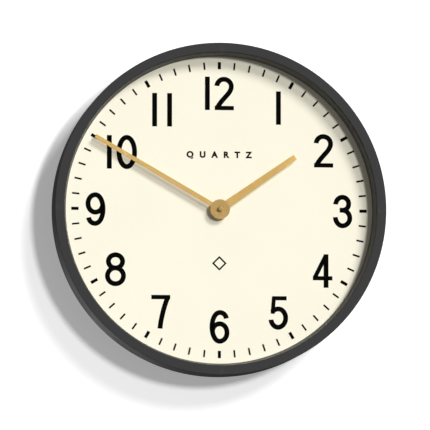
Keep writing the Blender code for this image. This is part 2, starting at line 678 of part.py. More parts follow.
def build_trains(axes, finish):
    """Wheels at rest, each turned so that it is in mesh with the one before it."""
    intermediate_turn = meshing_turn(INTERMEDIATE_DIRECTION, SECOND_TEETH, 0, LEAVES)
    rotor_turn = meshing_turn(ROTOR_DIRECTION, INTERMEDIATE_TEETH, intermediate_turn, LEAVES)
    third_turn = meshing_turn(THIRD_DIRECTION, LEAVES, 0, THIRD_TEETH)
    centre_turn = meshing_turn(THIRD_DIRECTION + 180, LEAVES, third_turn, CENTRE_TEETH)
    motion_turn = meshing_turn(MOTION_DIRECTION, MINUTE_TEETH[1], 0, MINUTE_TEETH[0])
    hour_turn = meshing_turn(MOTION_DIRECTION + 180, HOUR_TEETH[1], motion_turn, HOUR_TEETH[0])
    knob_turn = meshing_turn(KNOB_DIRECTION, MINUTE_TEETH[0], motion_turn, KNOB_TEETH)
    add_piece("second_wheel", second_wheel(), finish["gear"], axes, CENTRE_AT)
    add_piece("intermediate_wheel", intermediate_wheel(), finish["gear"], axes, INTERMEDIATE_AT,
              intermediate_turn)
    add_piece("rotor", rotor(), finish["magnet"], axes, ROTOR_AT, rotor_turn)
    add_piece("third_wheel", third_wheel(), finish["gear"], axes, THIRD_AT, third_turn)
    add_piece("centre_wheel", centre_wheel(), finish["gear"], axes, CENTRE_AT, centre_turn)
    add_piece("cannon_pinion", cannon_pinion(), finish["brass"], axes, CENTRE_AT)
    add_piece("motion_wheel", motion_wheel(), finish["gear"], axes, MOTION_AT, motion_turn)
    add_piece("hour_wheel", hour_wheel(), finish["brass"], axes, CENTRE_AT, hour_turn)
    add_piece("setting_knob", setting_knob(), finish["knob"], axes, KNOB_AT, knob_turn)


def build_hands(axes, finish):
    add_piece("hour_hand", hand(HOUR_HAND_LENGTH, 10.9, 7.7, HOUR_HAND_Z, 2.75), finish["gold"], axes,
              turn=-HOUR_ANGLE)
    add_piece("minute_hand", hand(MINUTE_HAND_LENGTH, 6.4, 5.4, MINUTE_HAND_Z, 1.9), finish["gold"], axes,
              turn=-MINUTE_ANGLE)
    add_piece("hand_nut", hand_nut(), finish["gold"], axes)


def main():
    clear_scene()
    axes = make_axes()
    finish = make_materials()
    build_case(axes, finish)
    build_back(axes, finish)
    build_movement(axes, finish)
    build_trains(axes, finish)
    build_hands(axes, finish)


main()
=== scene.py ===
# %% [markdown]
# # A round quartz wall clock
# The clock is a painted steel drum with a cream dial, black figures and flat gold hands under a raised glass.
# Behind the dial sits a 56 mm quartz movement, which is reached through an opening in the steel back.
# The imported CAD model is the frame: every piece here takes its place from it and rides on one of its bodies.

# %% The frame
import json
import math

import bpy
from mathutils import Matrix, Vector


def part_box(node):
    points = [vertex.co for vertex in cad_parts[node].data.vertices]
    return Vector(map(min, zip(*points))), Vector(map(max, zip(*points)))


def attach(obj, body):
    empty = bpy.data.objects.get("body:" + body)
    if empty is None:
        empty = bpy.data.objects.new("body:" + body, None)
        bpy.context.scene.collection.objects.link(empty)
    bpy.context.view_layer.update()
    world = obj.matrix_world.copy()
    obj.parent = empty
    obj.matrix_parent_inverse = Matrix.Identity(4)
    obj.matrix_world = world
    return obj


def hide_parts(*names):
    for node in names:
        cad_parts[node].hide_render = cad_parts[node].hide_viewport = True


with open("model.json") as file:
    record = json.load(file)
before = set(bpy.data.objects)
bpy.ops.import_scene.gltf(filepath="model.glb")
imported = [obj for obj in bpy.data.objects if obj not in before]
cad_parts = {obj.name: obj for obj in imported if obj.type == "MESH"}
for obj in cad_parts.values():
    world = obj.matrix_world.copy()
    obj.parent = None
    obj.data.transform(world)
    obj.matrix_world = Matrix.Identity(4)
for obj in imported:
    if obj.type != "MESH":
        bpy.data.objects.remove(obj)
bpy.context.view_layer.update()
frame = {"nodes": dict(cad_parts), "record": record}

# %% [markdown]
# ## The bench
# A clockmaker works with the clock lying on its back. So each piece is modelled lying face up round the
# hands' axis, in millimetres: x to the right, y up the dial, z from the wall towards the reader.
# `hang` then turns the finished piece upright and leaves its place in its mesh.

# %% Places and helpers
MM = 0.001
drum_low, drum_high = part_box("drum_case")
axis_height = (drum_low.z + drum_high.z) / 2
outer_radius = (drum_high.x - drum_low.x) / 2 / MM
front = -drum_low.y / MM


def deselect():
    """Leaves edit mode and clears the selection, since an operator acts on all that is selected."""
    if bpy.context.object and bpy.context.object.mode != "OBJECT":
        bpy.ops.object.mode_set(mode="OBJECT")
    bpy.ops.object.select_all(action="DESELECT")


def pick(piece):
    """Makes this piece the one selected and active object."""
    deselect()
    piece.select_set(True)
    bpy.context.view_layer.objects.active = piece


def settle(piece):
    """Moves a piece's place, turn and scale into its mesh."""
    pick(piece)
    bpy.ops.object.transform_apply(location=True, rotation=True, scale=True)


def modify(piece, label, kind, **settings):
    """Adds a modifier to a piece, sets it up and applies it."""
    pick(piece)
    modifier = piece.modifiers.new(label, kind)
    for name, value in settings.items():
        setattr(modifier, name, value)
    bpy.ops.object.modifier_apply(modifier=modifier.name)


def depth_of(node):
    """How far a CAD node reaches from the wall: its back and its front, in mm."""
    low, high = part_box(node)
    return -high.y / MM, -low.y / MM


def clean(piece):
    """Merges doubled points, then points every face outwards."""
    pick(piece)
    bpy.ops.object.mode_set(mode="EDIT")
    bpy.ops.mesh.select_all(action="SELECT")
    bpy.ops.mesh.remove_doubles(threshold=1e-6)
    bpy.ops.mesh.normals_make_consistent(inside=False)
    bpy.ops.object.mode_set(mode="OBJECT")


def hang(piece, body, slot, finish, *stands_for, smooth=35):
    """Stands a finished piece up on the wall, gives it its finish and lets it ride on its body."""
    clean(piece)
    piece.rotation_euler = (math.radians(90), 0, 0)
    piece.location = (0, 0, axis_height)
    settle(piece)
    bpy.ops.object.shade_smooth_by_angle(angle=math.radians(smooth))
    modify(piece, "flat faces stay flat", "WEIGHTED_NORMAL", keep_sharp=True)
    piece.data.materials.clear()
    piece.data.materials.append(finish)
    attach(piece, body)
    if stands_for:
        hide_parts(*stands_for)
    size = ", ".join(f"{side / MM:.1f}" for side in piece.dimensions)
    print(f"{piece.name}: {size} mm, {len(piece.data.polygons)} faces, rides on {body}")
    return piece


print(f"drum radius {outer_radius:.1f} mm, front {front:.1f} mm from the wall, axis at z {axis_height:.3f} m")

# %% [markdown]
# ## Ways of making a shape
# Turned parts are drawn as a circle that is pulled out loop by loop, as a spinner's tool would follow
# the profile. A profile that leaves the axis free is closed on its own start. Boxy parts start as a
# block, are cut or joined with exact Booleans and get their edges rounded.

# %% Turned parts, blocks and pegs
SPECK = 0.0005  # radius in mm of a circle that stands for a point on the axis


def lathe(name, loops, sides=192, at=(0, 0)):
    """Pulls a circle through (radius, height) loops. A radius of 0 closes the shape in a point."""
    if loops[0][0] and loops[-1][0]:
        loops = [*loops, loops[0]]
    deselect()
    radius, height = max(loops[0][0], SPECK), loops[0][1]
    bpy.ops.mesh.primitive_circle_add(vertices=sides, radius=radius * MM, location=(0, 0, height * MM))
    piece = bpy.context.object
    piece.name = name
    bpy.ops.object.transform_apply(location=True)
    bpy.ops.object.mode_set(mode="EDIT")
    bpy.ops.mesh.select_all(action="SELECT")
    for next_radius, next_height in loops[1:]:
        step = (0, 0, (next_height - height) * MM)
        bpy.ops.mesh.extrude_edges_move(TRANSFORM_OT_translate={"value": step})
        if next_radius == 0:
            bpy.ops.mesh.merge(type="CENTER")
            break
        share = next_radius / radius
        bpy.ops.transform.resize(value=(share, share, 1), center_override=(0, 0, 0))
        radius, height = next_radius, next_height
    bpy.ops.object.mode_set(mode="OBJECT")
    piece.location = (at[0] * MM, at[1] * MM, 0)
    settle(piece)
    clean(piece)
    return piece


def block(name, low, high, corner=0, turn=0):
    """A box from its low to its high corner in mm, its upright edges rounded to a corner radius."""
    deselect()
    bpy.ops.mesh.primitive_cube_add(size=1)
    piece = bpy.context.object
    piece.name = name
    piece.scale = [(b - a) * MM for a, b in zip(low, high)]
    settle(piece)
    if corner:
        bpy.ops.object.mode_set(mode="EDIT")
        bpy.ops.mesh.select_mode(type="EDGE")
        bpy.ops.mesh.select_all(action="DESELECT")
        bpy.ops.object.mode_set(mode="OBJECT")
        for edge in piece.data.edges:
            a, b = (piece.data.vertices[i].co for i in edge.vertices)
            edge.select = abs(a.z - b.z) > 1e-7
        bpy.ops.object.mode_set(mode="EDIT")
        bpy.ops.mesh.bevel(offset=corner * MM, segments=6, affect="EDGES")
        bpy.ops.object.mode_set(mode="OBJECT")
    piece.rotation_euler.z = math.radians(turn)
    piece.location = [(a + b) / 2 * MM for a, b in zip(low, high)]
    settle(piece)
    return piece


def peg(name, radius, low, high, at=(0, 0), sides=48):
    """A round peg between two heights."""
    deselect()
    place = (at[0] * MM, at[1] * MM, (low + high) / 2 * MM)
    bpy.ops.mesh.primitive_cylinder_add(vertices=sides, radius=radius * MM, depth=(high - low) * MM, location=place)
    piece = bpy.context.object
    piece.name = name
    settle(piece)
    return piece


def combine(piece, tool, how="DIFFERENCE"):
    """Cuts a tool from a piece, or welds it on, and throws the tool away."""
    modify(piece, how, "BOOLEAN", operation=how, solver="EXACT", object=tool)
    bpy.data.objects.remove(tool)
    return piece


def round_edges(piece, width, segments=3, angle=35):
    """Rounds every edge sharper than an angle, so that it catches a highlight as a real one does."""
    modify(piece, "rounding", "BEVEL", width=width * MM, segments=segments, limit_method="ANGLE",
           angle_limit=math.radians(angle))
    return piece


def copy_to(piece, name, x=0, y=0, turn=0):
    """A copy with its own mesh, moved on the bench and turned about the hands' axis."""
    pick(piece)
    bpy.ops.object.duplicate()
    copy = bpy.context.object
    copy.name = name
    copy.rotation_euler.z = math.radians(turn)
    copy.location = (x * MM, y * MM, 0)
    settle(copy)
    return copy


def join(pieces, name):
    """Makes one piece of several."""
    pick(pieces[0])
    for piece in pieces[1:]:
        piece.select_set(True)
    bpy.ops.object.join()
    bpy.context.object.name = name
    return bpy.context.object


def flute(piece, radius, circle, low, high, sides=8, count=24):
    """Cuts a row of upright flutes round a piece's side with thin pegs."""
    cutter = peg("flute", radius, low, high, (circle, 0), sides)
    cutters = [copy_to(cutter, f"flute_{step}", turn=360 / count * step) for step in range(count)]
    bpy.data.objects.remove(cutter)
    combine(piece, join(cutters, "flutes"))


# %% [markdown]
# ## Finishes: three shared effects
# Paint, plastic and metal all show the same few things close up: a fine grain with slow cloudy changes of
# tone, dust on faces that look up, and edges that are rubbed a little bright. Each is a node group that
# puts out only a mask or a height, so every finish can use it with its own values.

# %% Node helpers
def add(tree, kind, inputs=None, **settings):
    """Adds a shader node. An input that is a socket is linked, and anything else is its value."""
    node = tree.nodes.new("ShaderNode" + kind)
    for name, value in settings.items():
        setattr(node, name, value)
    for name, value in (inputs or {}).items():
        if isinstance(value, bpy.types.NodeSocket):
            tree.links.new(value, node.inputs[name])
        else:
            node.inputs[name].default_value = value
    return node


def new_group(name, values, outputs):
    """A node group with named number inputs and outputs."""
    group = bpy.data.node_groups.new(name, "ShaderNodeTree")
    for label, value in values.items():
        socket = group.interface.new_socket(name=label, in_out="INPUT", socket_type="NodeSocketFloat")
        socket.default_value = value
    for label in outputs:
        group.interface.new_socket(name=label, in_out="OUTPUT", socket_type="NodeSocketFloat")
    start = group.nodes.new("NodeGroupInput")
    end = group.nodes.new("NodeGroupOutput")
    return group, start, end


def sized_noise(tree, place, size, detail=3.0):
    """Noise whose features are about as wide as a size in mm, held in a socket."""
    scale = add(tree, "Math", {0: 1 / MM, 1: size}, operation="DIVIDE")
    return add(tree, "TexNoise", {"Vector": place, "Scale": scale.outputs[0], "Detail": detail}).outputs[0]


def widened(tree, noise, low=0.0):
    """Stretches a noise, which keeps near its middle, over the range from a low value to 1."""
    return add(tree, "MapRange", {"Value": noise, "From Min": 0.3, "From Max": 0.7, "To Min": low}).outputs[0]


def times(tree, first, second):
    """The product of two values."""
    return add(tree, "Math", {0: first, 1: second}, operation="MULTIPLY").outputs[0]


def own_place(tree):
    """Where a point lies on the piece itself, so that its finish moves with it."""
    return add(tree, "TexCoord").outputs["Object"]


# %% Grain and clouds
grain_group, start, end = new_group("grain and clouds", {"Grain mm": 0.6, "Cloud mm": 60.0}, ["Height", "Cloud"])
place = own_place(grain_group)
fine = sized_noise(grain_group, place, start.outputs["Grain mm"])
slow = sized_noise(grain_group, place, start.outputs["Cloud mm"])
grain_group.links.new(fine, end.inputs["Height"])
grain_group.links.new(widened(grain_group, slow), end.inputs["Cloud"])

# %% Settled dust
dust_group, start, end = new_group("settled dust", {"Amount": 0.3}, ["Mask"])
facing = add(dust_group, "SeparateXYZ", {0: add(dust_group, "NewGeometry").outputs["Normal"]})
upward = add(dust_group, "MapRange", {"Value": facing.outputs["Z"], "From Min": 0.35, "From Max": 1.0})
uneven = widened(dust_group, sized_noise(dust_group, own_place(dust_group), 9), 0.4)
both = times(dust_group, upward.outputs[0], uneven)
dust_group.links.new(times(dust_group, both, start.outputs["Amount"]), end.inputs["Mask"])

# %% Rubbed edges
edge_group, start, end = new_group("rubbed edges", {"Amount": 0.5}, ["Mask"])
sharp = add(edge_group, "NewGeometry").outputs["Pointiness"]
corner = add(edge_group, "MapRange", {"Value": sharp, "From Min": 0.51, "From Max": 0.6})
worn = times(edge_group, corner.outputs[0], sized_noise(edge_group, own_place(edge_group), 4))
edge_group.links.new(times(edge_group, worn, start.outputs["Amount"]), end.inputs["Mask"])
print("shared effects:", [group.name for group in (grain_group, dust_group, edge_group)])

# %% [markdown]
# ## Finishes: one recipe, many materials
# The recipe mixes two close tones by the clouds, brightens rubbed edges, lays dust on top, and lets the
# same clouds move the roughness. The grain feeds a bump. A pattern, where there is one, takes over the
# second tone, so that a brushed metal or a printed sleeve is the same recipe with its own mask.

# %% The recipe
DUST = (0.55, 0.53, 0.5, 1)
FACTOR, FIRST_COLOUR, SECOND_COLOUR, MIXED_COLOUR = 0, 6, 7, 2  # a Mix node's sockets, whose names repeat


def new_material(name):
    """A material with nodes, its tree and its Principled shader."""
    material = bpy.data.materials.new(name)
    material.use_nodes = True
    return material, material.node_tree, material.node_tree.nodes["Principled BSDF"]


def blend_colours(tree, share, first, second):
    """A colour between two colours, by a share from 0 to 1."""
    mix = add(tree, "Mix", {FACTOR: share, FIRST_COLOUR: first, SECOND_COLOUR: second}, data_type="RGBA")
    return mix.outputs[MIXED_COLOUR]


def finish_of(name, tone, other, rough, metal=0.0, grain=0.6, cloud=60, depth=0.02, dust=0.15, wear=0.2,
              bright=None, pattern=None, specular=0.5, coat=0.0):
    """A material of two tones, with grain, clouds, dust and rubbed edges. Lengths are in mm."""
    material, tree, surface = new_material(name)
    texture = add(tree, "Group", node_tree=grain_group)
    texture.inputs["Grain mm"].default_value = grain
    texture.inputs["Cloud mm"].default_value = cloud
    dusty = add(tree, "Group", node_tree=dust_group)
    dusty.inputs["Amount"].default_value = dust
    rubbed = add(tree, "Group", node_tree=edge_group)
    rubbed.inputs["Amount"].default_value = wear
    share = pattern(tree) if pattern else texture.outputs["Cloud"]
    base = blend_colours(tree, share, (*tone, 1), (*other, 1))
    lighter = bright or [min(1, 1.6 * part + 0.04) for part in tone]
    base = blend_colours(tree, rubbed.outputs["Mask"], base, (*lighter, 1))
    base = blend_colours(tree, dusty.outputs["Mask"], base, DUST)
    tree.links.new(base, surface.inputs["Base Color"])
    gloss = add(tree, "MapRange", {"Value": texture.outputs["Cloud"], "To Min": rough[0], "To Max": rough[1]})
    duller = add(tree, "Math", {0: gloss.outputs[0], 1: dusty.outputs["Mask"]}, operation="ADD", use_clamp=True)
    tree.links.new(duller.outputs[0], surface.inputs["Roughness"])
    relief = add(tree, "Bump", {"Height": texture.outputs["Height"], "Strength": 0.6, "Distance": depth * MM})
    tree.links.new(relief.outputs["Normal"], surface.inputs["Normal"])
    surface.inputs["Metallic"].default_value = metal
    surface.inputs["Specular IOR Level"].default_value = specular
    surface.inputs["Coat Weight"].default_value = coat
    material.diffuse_color = (*tone, 1)
    return material


def from_axis(tree):
    """A point's place from the hands' axis."""
    return add(tree, "Mapping", {"Vector": own_place(tree), "Location": (0, 0, -axis_height)}).outputs[0]


def brushed(turn=0, size=0.35, stretch=60.0):
    """A mask of fine lines along one direction, turned about the hands' axis by an angle."""
    def lines(tree):
        laid = add(tree, "Mapping", {
            "Vector": from_axis(tree), "Rotation": (0, math.radians(turn), 0), "Scale": (1, 1, 1 / stretch)})
        noise = add(tree, "TexNoise", {"Vector": laid.outputs[0], "Scale": 1 / (size * MM), "Detail": 2.0})
        return widened(tree, noise.outputs[0])
    return lines


def turned_lines(pitch=0.5):
    """A mask of fine rings round the hands' axis, as a lathe tool leaves them."""
    def rings(tree):
        flat = add(tree, "VectorMath", {0: from_axis(tree), 1: (1, 0, 1)}, operation="MULTIPLY")
        radius = add(tree, "VectorMath", {0: flat.outputs[0]}, operation="LENGTH")
        along = add(tree, "CombineXYZ", {"X": radius.outputs["Value"]})
        noise = add(tree, "TexNoise", {"Vector": along.outputs[0], "Scale": 1 / (pitch * MM), "Detail": 3.0})
        return widened(tree, noise.outputs[0])
    return rings


# %% [markdown]
# ## The paints, metals and plastics
# The drum wears a dark grey powder coat with a faint orange peel. The dial is matt cream, its figures are
# a dense matt black, and the hands are gold lacquered aluminium, too soft a shine to mirror anything.

# %% Finishes by slot
case_paint = finish_of("case paint", (0.022, 0.022, 0.0225), (0.025, 0.025, 0.0255), (0.58, 0.66), grain=0.5,
                       cloud=45, depth=0.014, dust=0.05, wear=0.35, specular=0.25)
# The inner ring takes the case's paint made lighter and warmer than the drum's: painted warm bounce light from the
# cream dial.
inner_paint_with_painted_bounce = finish_of("inner ring paint with painted bounce", (0.085, 0.084, 0.074), (0.095, 0.094, 0.083), (0.6, 0.7), grain=0.5,
                        cloud=30, depth=0.012, dust=0.0, wear=0.2, specular=0.25)
back_paint = finish_of("back panel paint", (0.040, 0.040, 0.041), (0.052, 0.052, 0.052), (0.48, 0.62), grain=0.7,
                       cloud=70, depth=0.03, dust=0.2, wear=0.5)
black_rubber = finish_of("black rubber", (0.012, 0.012, 0.012), (0.02, 0.02, 0.02), (0.7, 0.85), grain=0.25,
                         cloud=8, depth=0.02, dust=0.12, wear=0.3)
dial_cream = finish_of("dial cream", (0.93, 0.885, 0.73), (0.945, 0.90, 0.745), (0.7, 0.8), grain=0.22,
                       cloud=90, depth=0.006, dust=0.0, wear=0.0, specular=0.1)
print_black = finish_of("printed black", (0.001, 0.001, 0.001), (0.002, 0.002, 0.002), (0.8, 0.9), grain=0.2,
                        cloud=10, depth=0.004, dust=0.0, wear=0.0, specular=0.0)
fibre_board = finish_of("fibre board", (0.17, 0.093, 0.043), (0.24, 0.14, 0.07), (0.75, 0.9), grain=0.5,
                        cloud=3, depth=0.12, dust=0.2, wear=0.3)
white_spacer = finish_of("white spacer", (0.7, 0.69, 0.65), (0.76, 0.75, 0.71), (0.4, 0.5), cloud=6, depth=0.01)
zinc_steel = finish_of("zinc plate", (0.52, 0.53, 0.54), (0.66, 0.66, 0.65), (0.26, 0.4), metal=1.0, grain=0.3,
                       cloud=4, depth=0.012, dust=0.12, wear=0.5)
black_plastic = finish_of("black plastic", (0.026, 0.026, 0.027), (0.034, 0.034, 0.035), (0.33, 0.46), grain=0.35,
                          cloud=9, depth=0.03, dust=0.18, wear=0.5)
brass = finish_of("turned brass", (0.66, 0.47, 0.19), (0.74, 0.55, 0.25), (0.24, 0.36), metal=1.0, grain=0.25,
                  cloud=3, depth=0.01, dust=0.05, pattern=turned_lines(0.4))
white_gear_plastic = finish_of("white gear plastic", (0.78, 0.77, 0.72), (0.84, 0.83, 0.79), (0.3, 0.42),
                               grain=0.3, cloud=3, depth=0.008, dust=0.0)
rotor_magnet = finish_of("rotor magnet", (0.05, 0.05, 0.055), (0.08, 0.08, 0.085), (0.3, 0.45), metal=0.6,
                         grain=0.15, cloud=1.5, depth=0.01, dust=0.0)
soft_iron = finish_of("soft iron", (0.42, 0.42, 0.43), (0.5, 0.5, 0.51), (0.3, 0.45), metal=1.0, grain=0.2,
                      cloud=4, depth=0.008, dust=0.05, pattern=brushed(90, 0.3, 30))
knob_plastic = finish_of("knob plastic", (0.5, 0.49, 0.46), (0.56, 0.55, 0.52), (0.35, 0.45), cloud=3,
                         grain=0.3, depth=0.012, dust=0.2)
print("plain finishes made:", len(bpy.data.materials))

# %% [markdown]
# The gold of the hands is brushed lengthwise, so each hand has its lines turned to its own angle. The
# boss in the middle is turned instead and a shade darker, which a mask by radius brings in.

# %% Hands' gold
GOLD = (0.49, 0.305, 0.077)
GOLD_LIGHT = (0.54, 0.34, 0.09)
hour_angle, minute_angle = 55, 300
hour_gold = finish_of("hour hand gold", GOLD, GOLD_LIGHT, (0.62, 0.7), metal=0.15, grain=0.3, cloud=12,
                      depth=0.004, dust=0.0, wear=0.5, pattern=brushed(-hour_angle))
minute_gold = finish_of("minute hand gold", GOLD, GOLD_LIGHT, (0.62, 0.7), metal=0.15, grain=0.3, cloud=12,
                        depth=0.004, dust=0.0, wear=0.5, pattern=brushed(-minute_angle))
boss_gold = finish_of("boss gold", (0.33, 0.205, 0.053), (0.385, 0.24, 0.064), (0.6, 0.68), metal=0.2, grain=0.3,
                      cloud=12, depth=0.004, dust=0.0, wear=0.5, pattern=turned_lines(0.5))

# %% [markdown]
# A coil of enamelled wire shows its turns as fine bands across the bobbin. A circuit board shows its
# copper tracks as lighter green lines under the lacquer. Each pattern is a mask for the same recipe.

# %% Striped finishes
def bands(axis, width, tilt=0.0):
    """A mask of even bands across one axis of the part."""
    def stripes(tree):
        split = add(tree, "SeparateXYZ", {0: own_place(tree)})
        wave = times(tree, split.outputs[axis], 2 * math.pi / (width * MM))
        turn = add(tree, "Math", {0: wave}, operation="SINE")
        return add(tree, "MapRange", {"Value": turn.outputs[0], "From Min": -1 + tilt, "From Max": 1}).outputs[0]
    return stripes


copper_wire = finish_of("copper wire", (0.30, 0.09, 0.035), (0.72, 0.30, 0.14), (0.3, 0.4), metal=0.8, grain=0.2,
                        cloud=2, depth=0.01, dust=0.0, pattern=bands("X", 0.28))
circuit_green = finish_of("circuit board", (0.012, 0.075, 0.03), (0.03, 0.16, 0.06), (0.3, 0.4), grain=0.3,
                          cloud=3, depth=0.01, dust=0.1, pattern=bands("X", 2.2, 1.0), coat=0.3)

# %% [markdown]
# The glass is clear. Its refraction index is set to 1.15 instead of glass's 1.5, a choice for the
# look: it keeps reflections weak, as an anti-glare coat would. A shadow ray passes it as if it
# weren't there, because glass that only refracts would leave the dial in the dark. The pane is also
# hidden from diffuse rays, which would gather the lamps' light a second time. The faint difference in
# tint over the pane is all that shows of its handling.

# %% Glass
def show_when(tree, condition, hidden, shown):
    """Lets the second shader show where the condition holds, and the first one elsewhere."""
    switch = add(tree, "MixShader", {0: condition})
    tree.links.new(hidden, switch.inputs[1])
    tree.links.new(shown, switch.inputs[2])
    tree.links.new(switch.outputs[0], tree.nodes["Material Output"].inputs["Surface"])


clear_glass, tree, pane = new_material("clear glass")
pane.inputs["Transmission Weight"].default_value = 1.0
pane.inputs["Roughness"].default_value = 0.0
pane.inputs["IOR"].default_value = 1.15
smears = add(tree, "Group", node_tree=grain_group)
smears.inputs["Grain mm"].default_value = 30
smears.inputs["Cloud mm"].default_value = 70
tint = blend_colours(tree, smears.outputs["Cloud"], (0.985, 0.995, 0.99, 1), (0.998, 1.0, 0.999, 1))
tree.links.new(tint, pane.inputs["Base Color"])
is_shadow = add(tree, "LightPath").outputs["Is Shadow Ray"]
show_when(tree, is_shadow, pane.outputs[0], add(tree, "BsdfTransparent").outputs[0])
print("glass passes shadow rays, and is clear to within 1.5 per cent")

# %% [markdown]
# ## The drum
# The case is one spun steel drum: a straight side wall, a flat front ring folded in at the rim, and a
# short edge turned back behind the glass. The back edge is hemmed, since a cut steel edge is sharp.
# A closed profile is followed round, and its corners are rounded as a spinning tool leaves them.

# %% Drum case
WALL = 1.2
ring_inner = 212.3
back_edge = -drum_high.y / MM
drum = lathe("drum_case_shell", [
    (outer_radius, back_edge + 1.4), (outer_radius, front), (ring_inner, front), (ring_inner, front - 2.7),
    (ring_inner + WALL, front - 2.7), (ring_inner + WALL, front - WALL), (outer_radius - WALL, front - WALL),
    (outer_radius - WALL, back_edge + 4.2), (outer_radius - 2.3, back_edge + 3.8),
    (outer_radius - 2.3, back_edge + 0.4), (outer_radius - 1.6, back_edge), (outer_radius - 0.6, back_edge)], sides=256)
round_edges(drum, 0.5, 3, 50)
hang(drum, "case", "case_paint", case_paint, "drum_case")

# %% [markdown]
# ## The ring behind the glass
# A shallow cone stands between dial and glass. It keeps the two apart and hides the dial's edge, and
# its flange is clamped under the pane. It is turned thin, with a small bead where it meets the dial.

# %% Inner ring
ring_back, ring_front = depth_of("inner_ring")
inner_ring = lathe("inner_ring_cone", [
    (208.6, ring_back), (208.9, ring_back + 1.2), (209.4, ring_back + 1.8), (212.0, ring_front - 0.8),
    (212.8, ring_front), (219.0, ring_front), (219.0, ring_front - 0.9), (213.1, ring_front - 0.9),
    (212.8, ring_front - 1.4), (210.2, ring_back + 1.5), (209.8, ring_back)], sides=256)
round_edges(inner_ring, 0.15, 2, 40)
# The inner ring's lighter, warmer paint holds painted bounce light from the dial.
hang(inner_ring, "case", "case_paint", inner_paint_with_painted_bounce, "inner_ring")

# %% [markdown]
# ## The raised glass and its gasket
# The pane is sagged over a mould, so it rises about 3 mm towards the middle. Both of its faces follow
# the same slight curve, and the ground edge is rounded. The gasket is a soft channel round that edge.

# %% Glass pane
glass_back, glass_front = depth_of("lens")
glass_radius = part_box("lens")[1].x / MM
edge_front = glass_back + 2.4
rise = glass_front - edge_front
radii = [glass_radius * step / 16 for step in range(1, 17)]


def sag(radius):
    """How far the pane has risen above its rim, at a radius."""
    return rise * (1 - (radius / glass_radius) ** 2)


under = [(radius, glass_back + sag(radius)) for radius in radii]
over = [(radius, edge_front + sag(radius)) for radius in reversed(radii)]
glass = lathe("glass_pane", [(0, glass_back + rise), *under, *over, (0, glass_front)], sides=192)
round_edges(glass, 0.5, 3, 60)
hang(glass, "case", "clear_glass", clear_glass, "lens", smooth=60)
glass.visible_diffuse = False

# %% Gasket
gasket_back, gasket_front = depth_of("lens_gasket")
gasket = lathe("glass_gasket", [
    (219.9, gasket_back), (222.3, gasket_back), (222.3, gasket_front), (214.3, gasket_front),
    (214.1, gasket_front - 0.5), (214.4, gasket_front - 0.9), (219.0, gasket_front - 0.9),
    (219.9, gasket_front - 1.6)], sides=192)
round_edges(gasket, 0.2, 2, 40)
hang(gasket, "case", "black_rubber", black_rubber, "lens_gasket")

# %% [markdown]
# ## The dial
# The dial is a thin aluminium sheet, printed matt cream, on a brown hardboard disc that keeps it flat.
# It has one hole in the middle for the movement's threaded bushing.

# %% Dial and board
dial_back, dial_front = depth_of("dial")
dial_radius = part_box("dial")[1].x / MM
dial = lathe("dial_sheet", [
    (4.2, dial_back), (dial_radius, dial_back), (dial_radius, dial_front), (4.2, dial_front)],
    sides=256)
round_edges(dial, 0.15, 2, 60)
hang(dial, "case", "dial_cream", dial_cream, "dial")

board_back, board_front = depth_of("dial_board")
board = lathe("dial_backing_board", [
    (4.2, board_back), (dial_radius, board_back), (dial_radius, board_front), (4.2, board_front)],
    sides=192)
round_edges(board, 0.4, 2, 60)
hang(board, "case", "fibre_board", fibre_board, "dial_board")

# %% [markdown]
# ## The minute track
# Sixty strokes lie on one circle, and every fifth is wider. One stroke of each kind is made,
# then copied round the dial. The print is a thin skin that stands 0.15 mm proud, half of it in the paint.

# %% Minute track
INK = 0.15
track_inner, track_outer = 191.3, 201.2


def mark(name, width):
    """One stroke of the track at the top of the dial."""
    return block(name, (-width / 2, track_inner, dial_front - INK), (width / 2, track_outer, dial_front + INK))


minute_mark, hour_mark = mark("minute_mark", 2.4), mark("hour_mark", 4.2)
marks = [copy_to(minute_mark if step % 5 else hour_mark, f"mark_{step}", turn=-6 * step) for step in range(60)]
bpy.data.objects.remove(minute_mark)
bpy.data.objects.remove(hour_mark)
track = join(marks, "minute_track")
hang(track, "case", "dial_cream", print_black)

# %% [markdown]
# ## The figures
# The figures are drawn with one even pen, like letters cut with a round-cornered router. So each stroke
# is a smooth curve, and a flat pen section is swept along it. A point holds its place, the way the pen
# is heading there in degrees, and how far its curve handles reach back and ahead. Where two strokes of
# a figure meet, they are welded into one shape, and each figure is made once and copied to its hours.

# %% Pen strokes
def pen(width):
    """The flat section that is swept along a stroke."""
    deselect()
    bpy.ops.curve.primitive_bezier_curve_add()
    section = bpy.context.object
    section.data.splines.clear()
    outline = section.data.splines.new("POLY")
    outline.points.add(3)
    corners = ((-1, -1), (1, -1), (1, 1), (-1, 1))
    for point, (side, face) in zip(outline.points, corners):
        point.co = (side * width / 2 * MM, face * INK * MM, 0, 1)
    outline.use_cyclic_u = True
    return section


def stroke(points, width, closed=False):
    """Sweeps the pen through (x, y, heading, reach back, reach ahead) points. Two-number points join straight."""
    section = pen(width)
    deselect()
    bpy.ops.curve.primitive_bezier_curve_add()
    line = bpy.context.object
    line.data.dimensions = "2D"
    line.data.fill_mode = "NONE"
    line.data.splines.clear()
    spline = line.data.splines.new("BEZIER")
    spline.bezier_points.add(len(points) - 1)
    for knot, point in zip(spline.bezier_points, points):
        x, y, heading, back, ahead = point if len(point) == 5 else (*point, 0, 0, 0)
        knot.handle_left_type = knot.handle_right_type = "FREE" if len(point) == 5 else "VECTOR"
        way = (math.cos(math.radians(heading)), math.sin(math.radians(heading)))
        knot.co = (x * MM, y * MM, 0)
        if len(point) == 5:
            knot.handle_left = ((x - back * way[0]) * MM, (y - back * way[1]) * MM, 0)
            knot.handle_right = ((x + ahead * way[0]) * MM, (y + ahead * way[1]) * MM, 0)
    spline.use_cyclic_u = closed
    line.data.resolution_u = 14
    line.data.bevel_mode = "OBJECT"
    line.data.bevel_object = section
    line.data.use_fill_caps = True
    pick(line)
    bpy.ops.object.convert(target="MESH")
    bpy.data.objects.remove(section)
    clean(line)
    return line


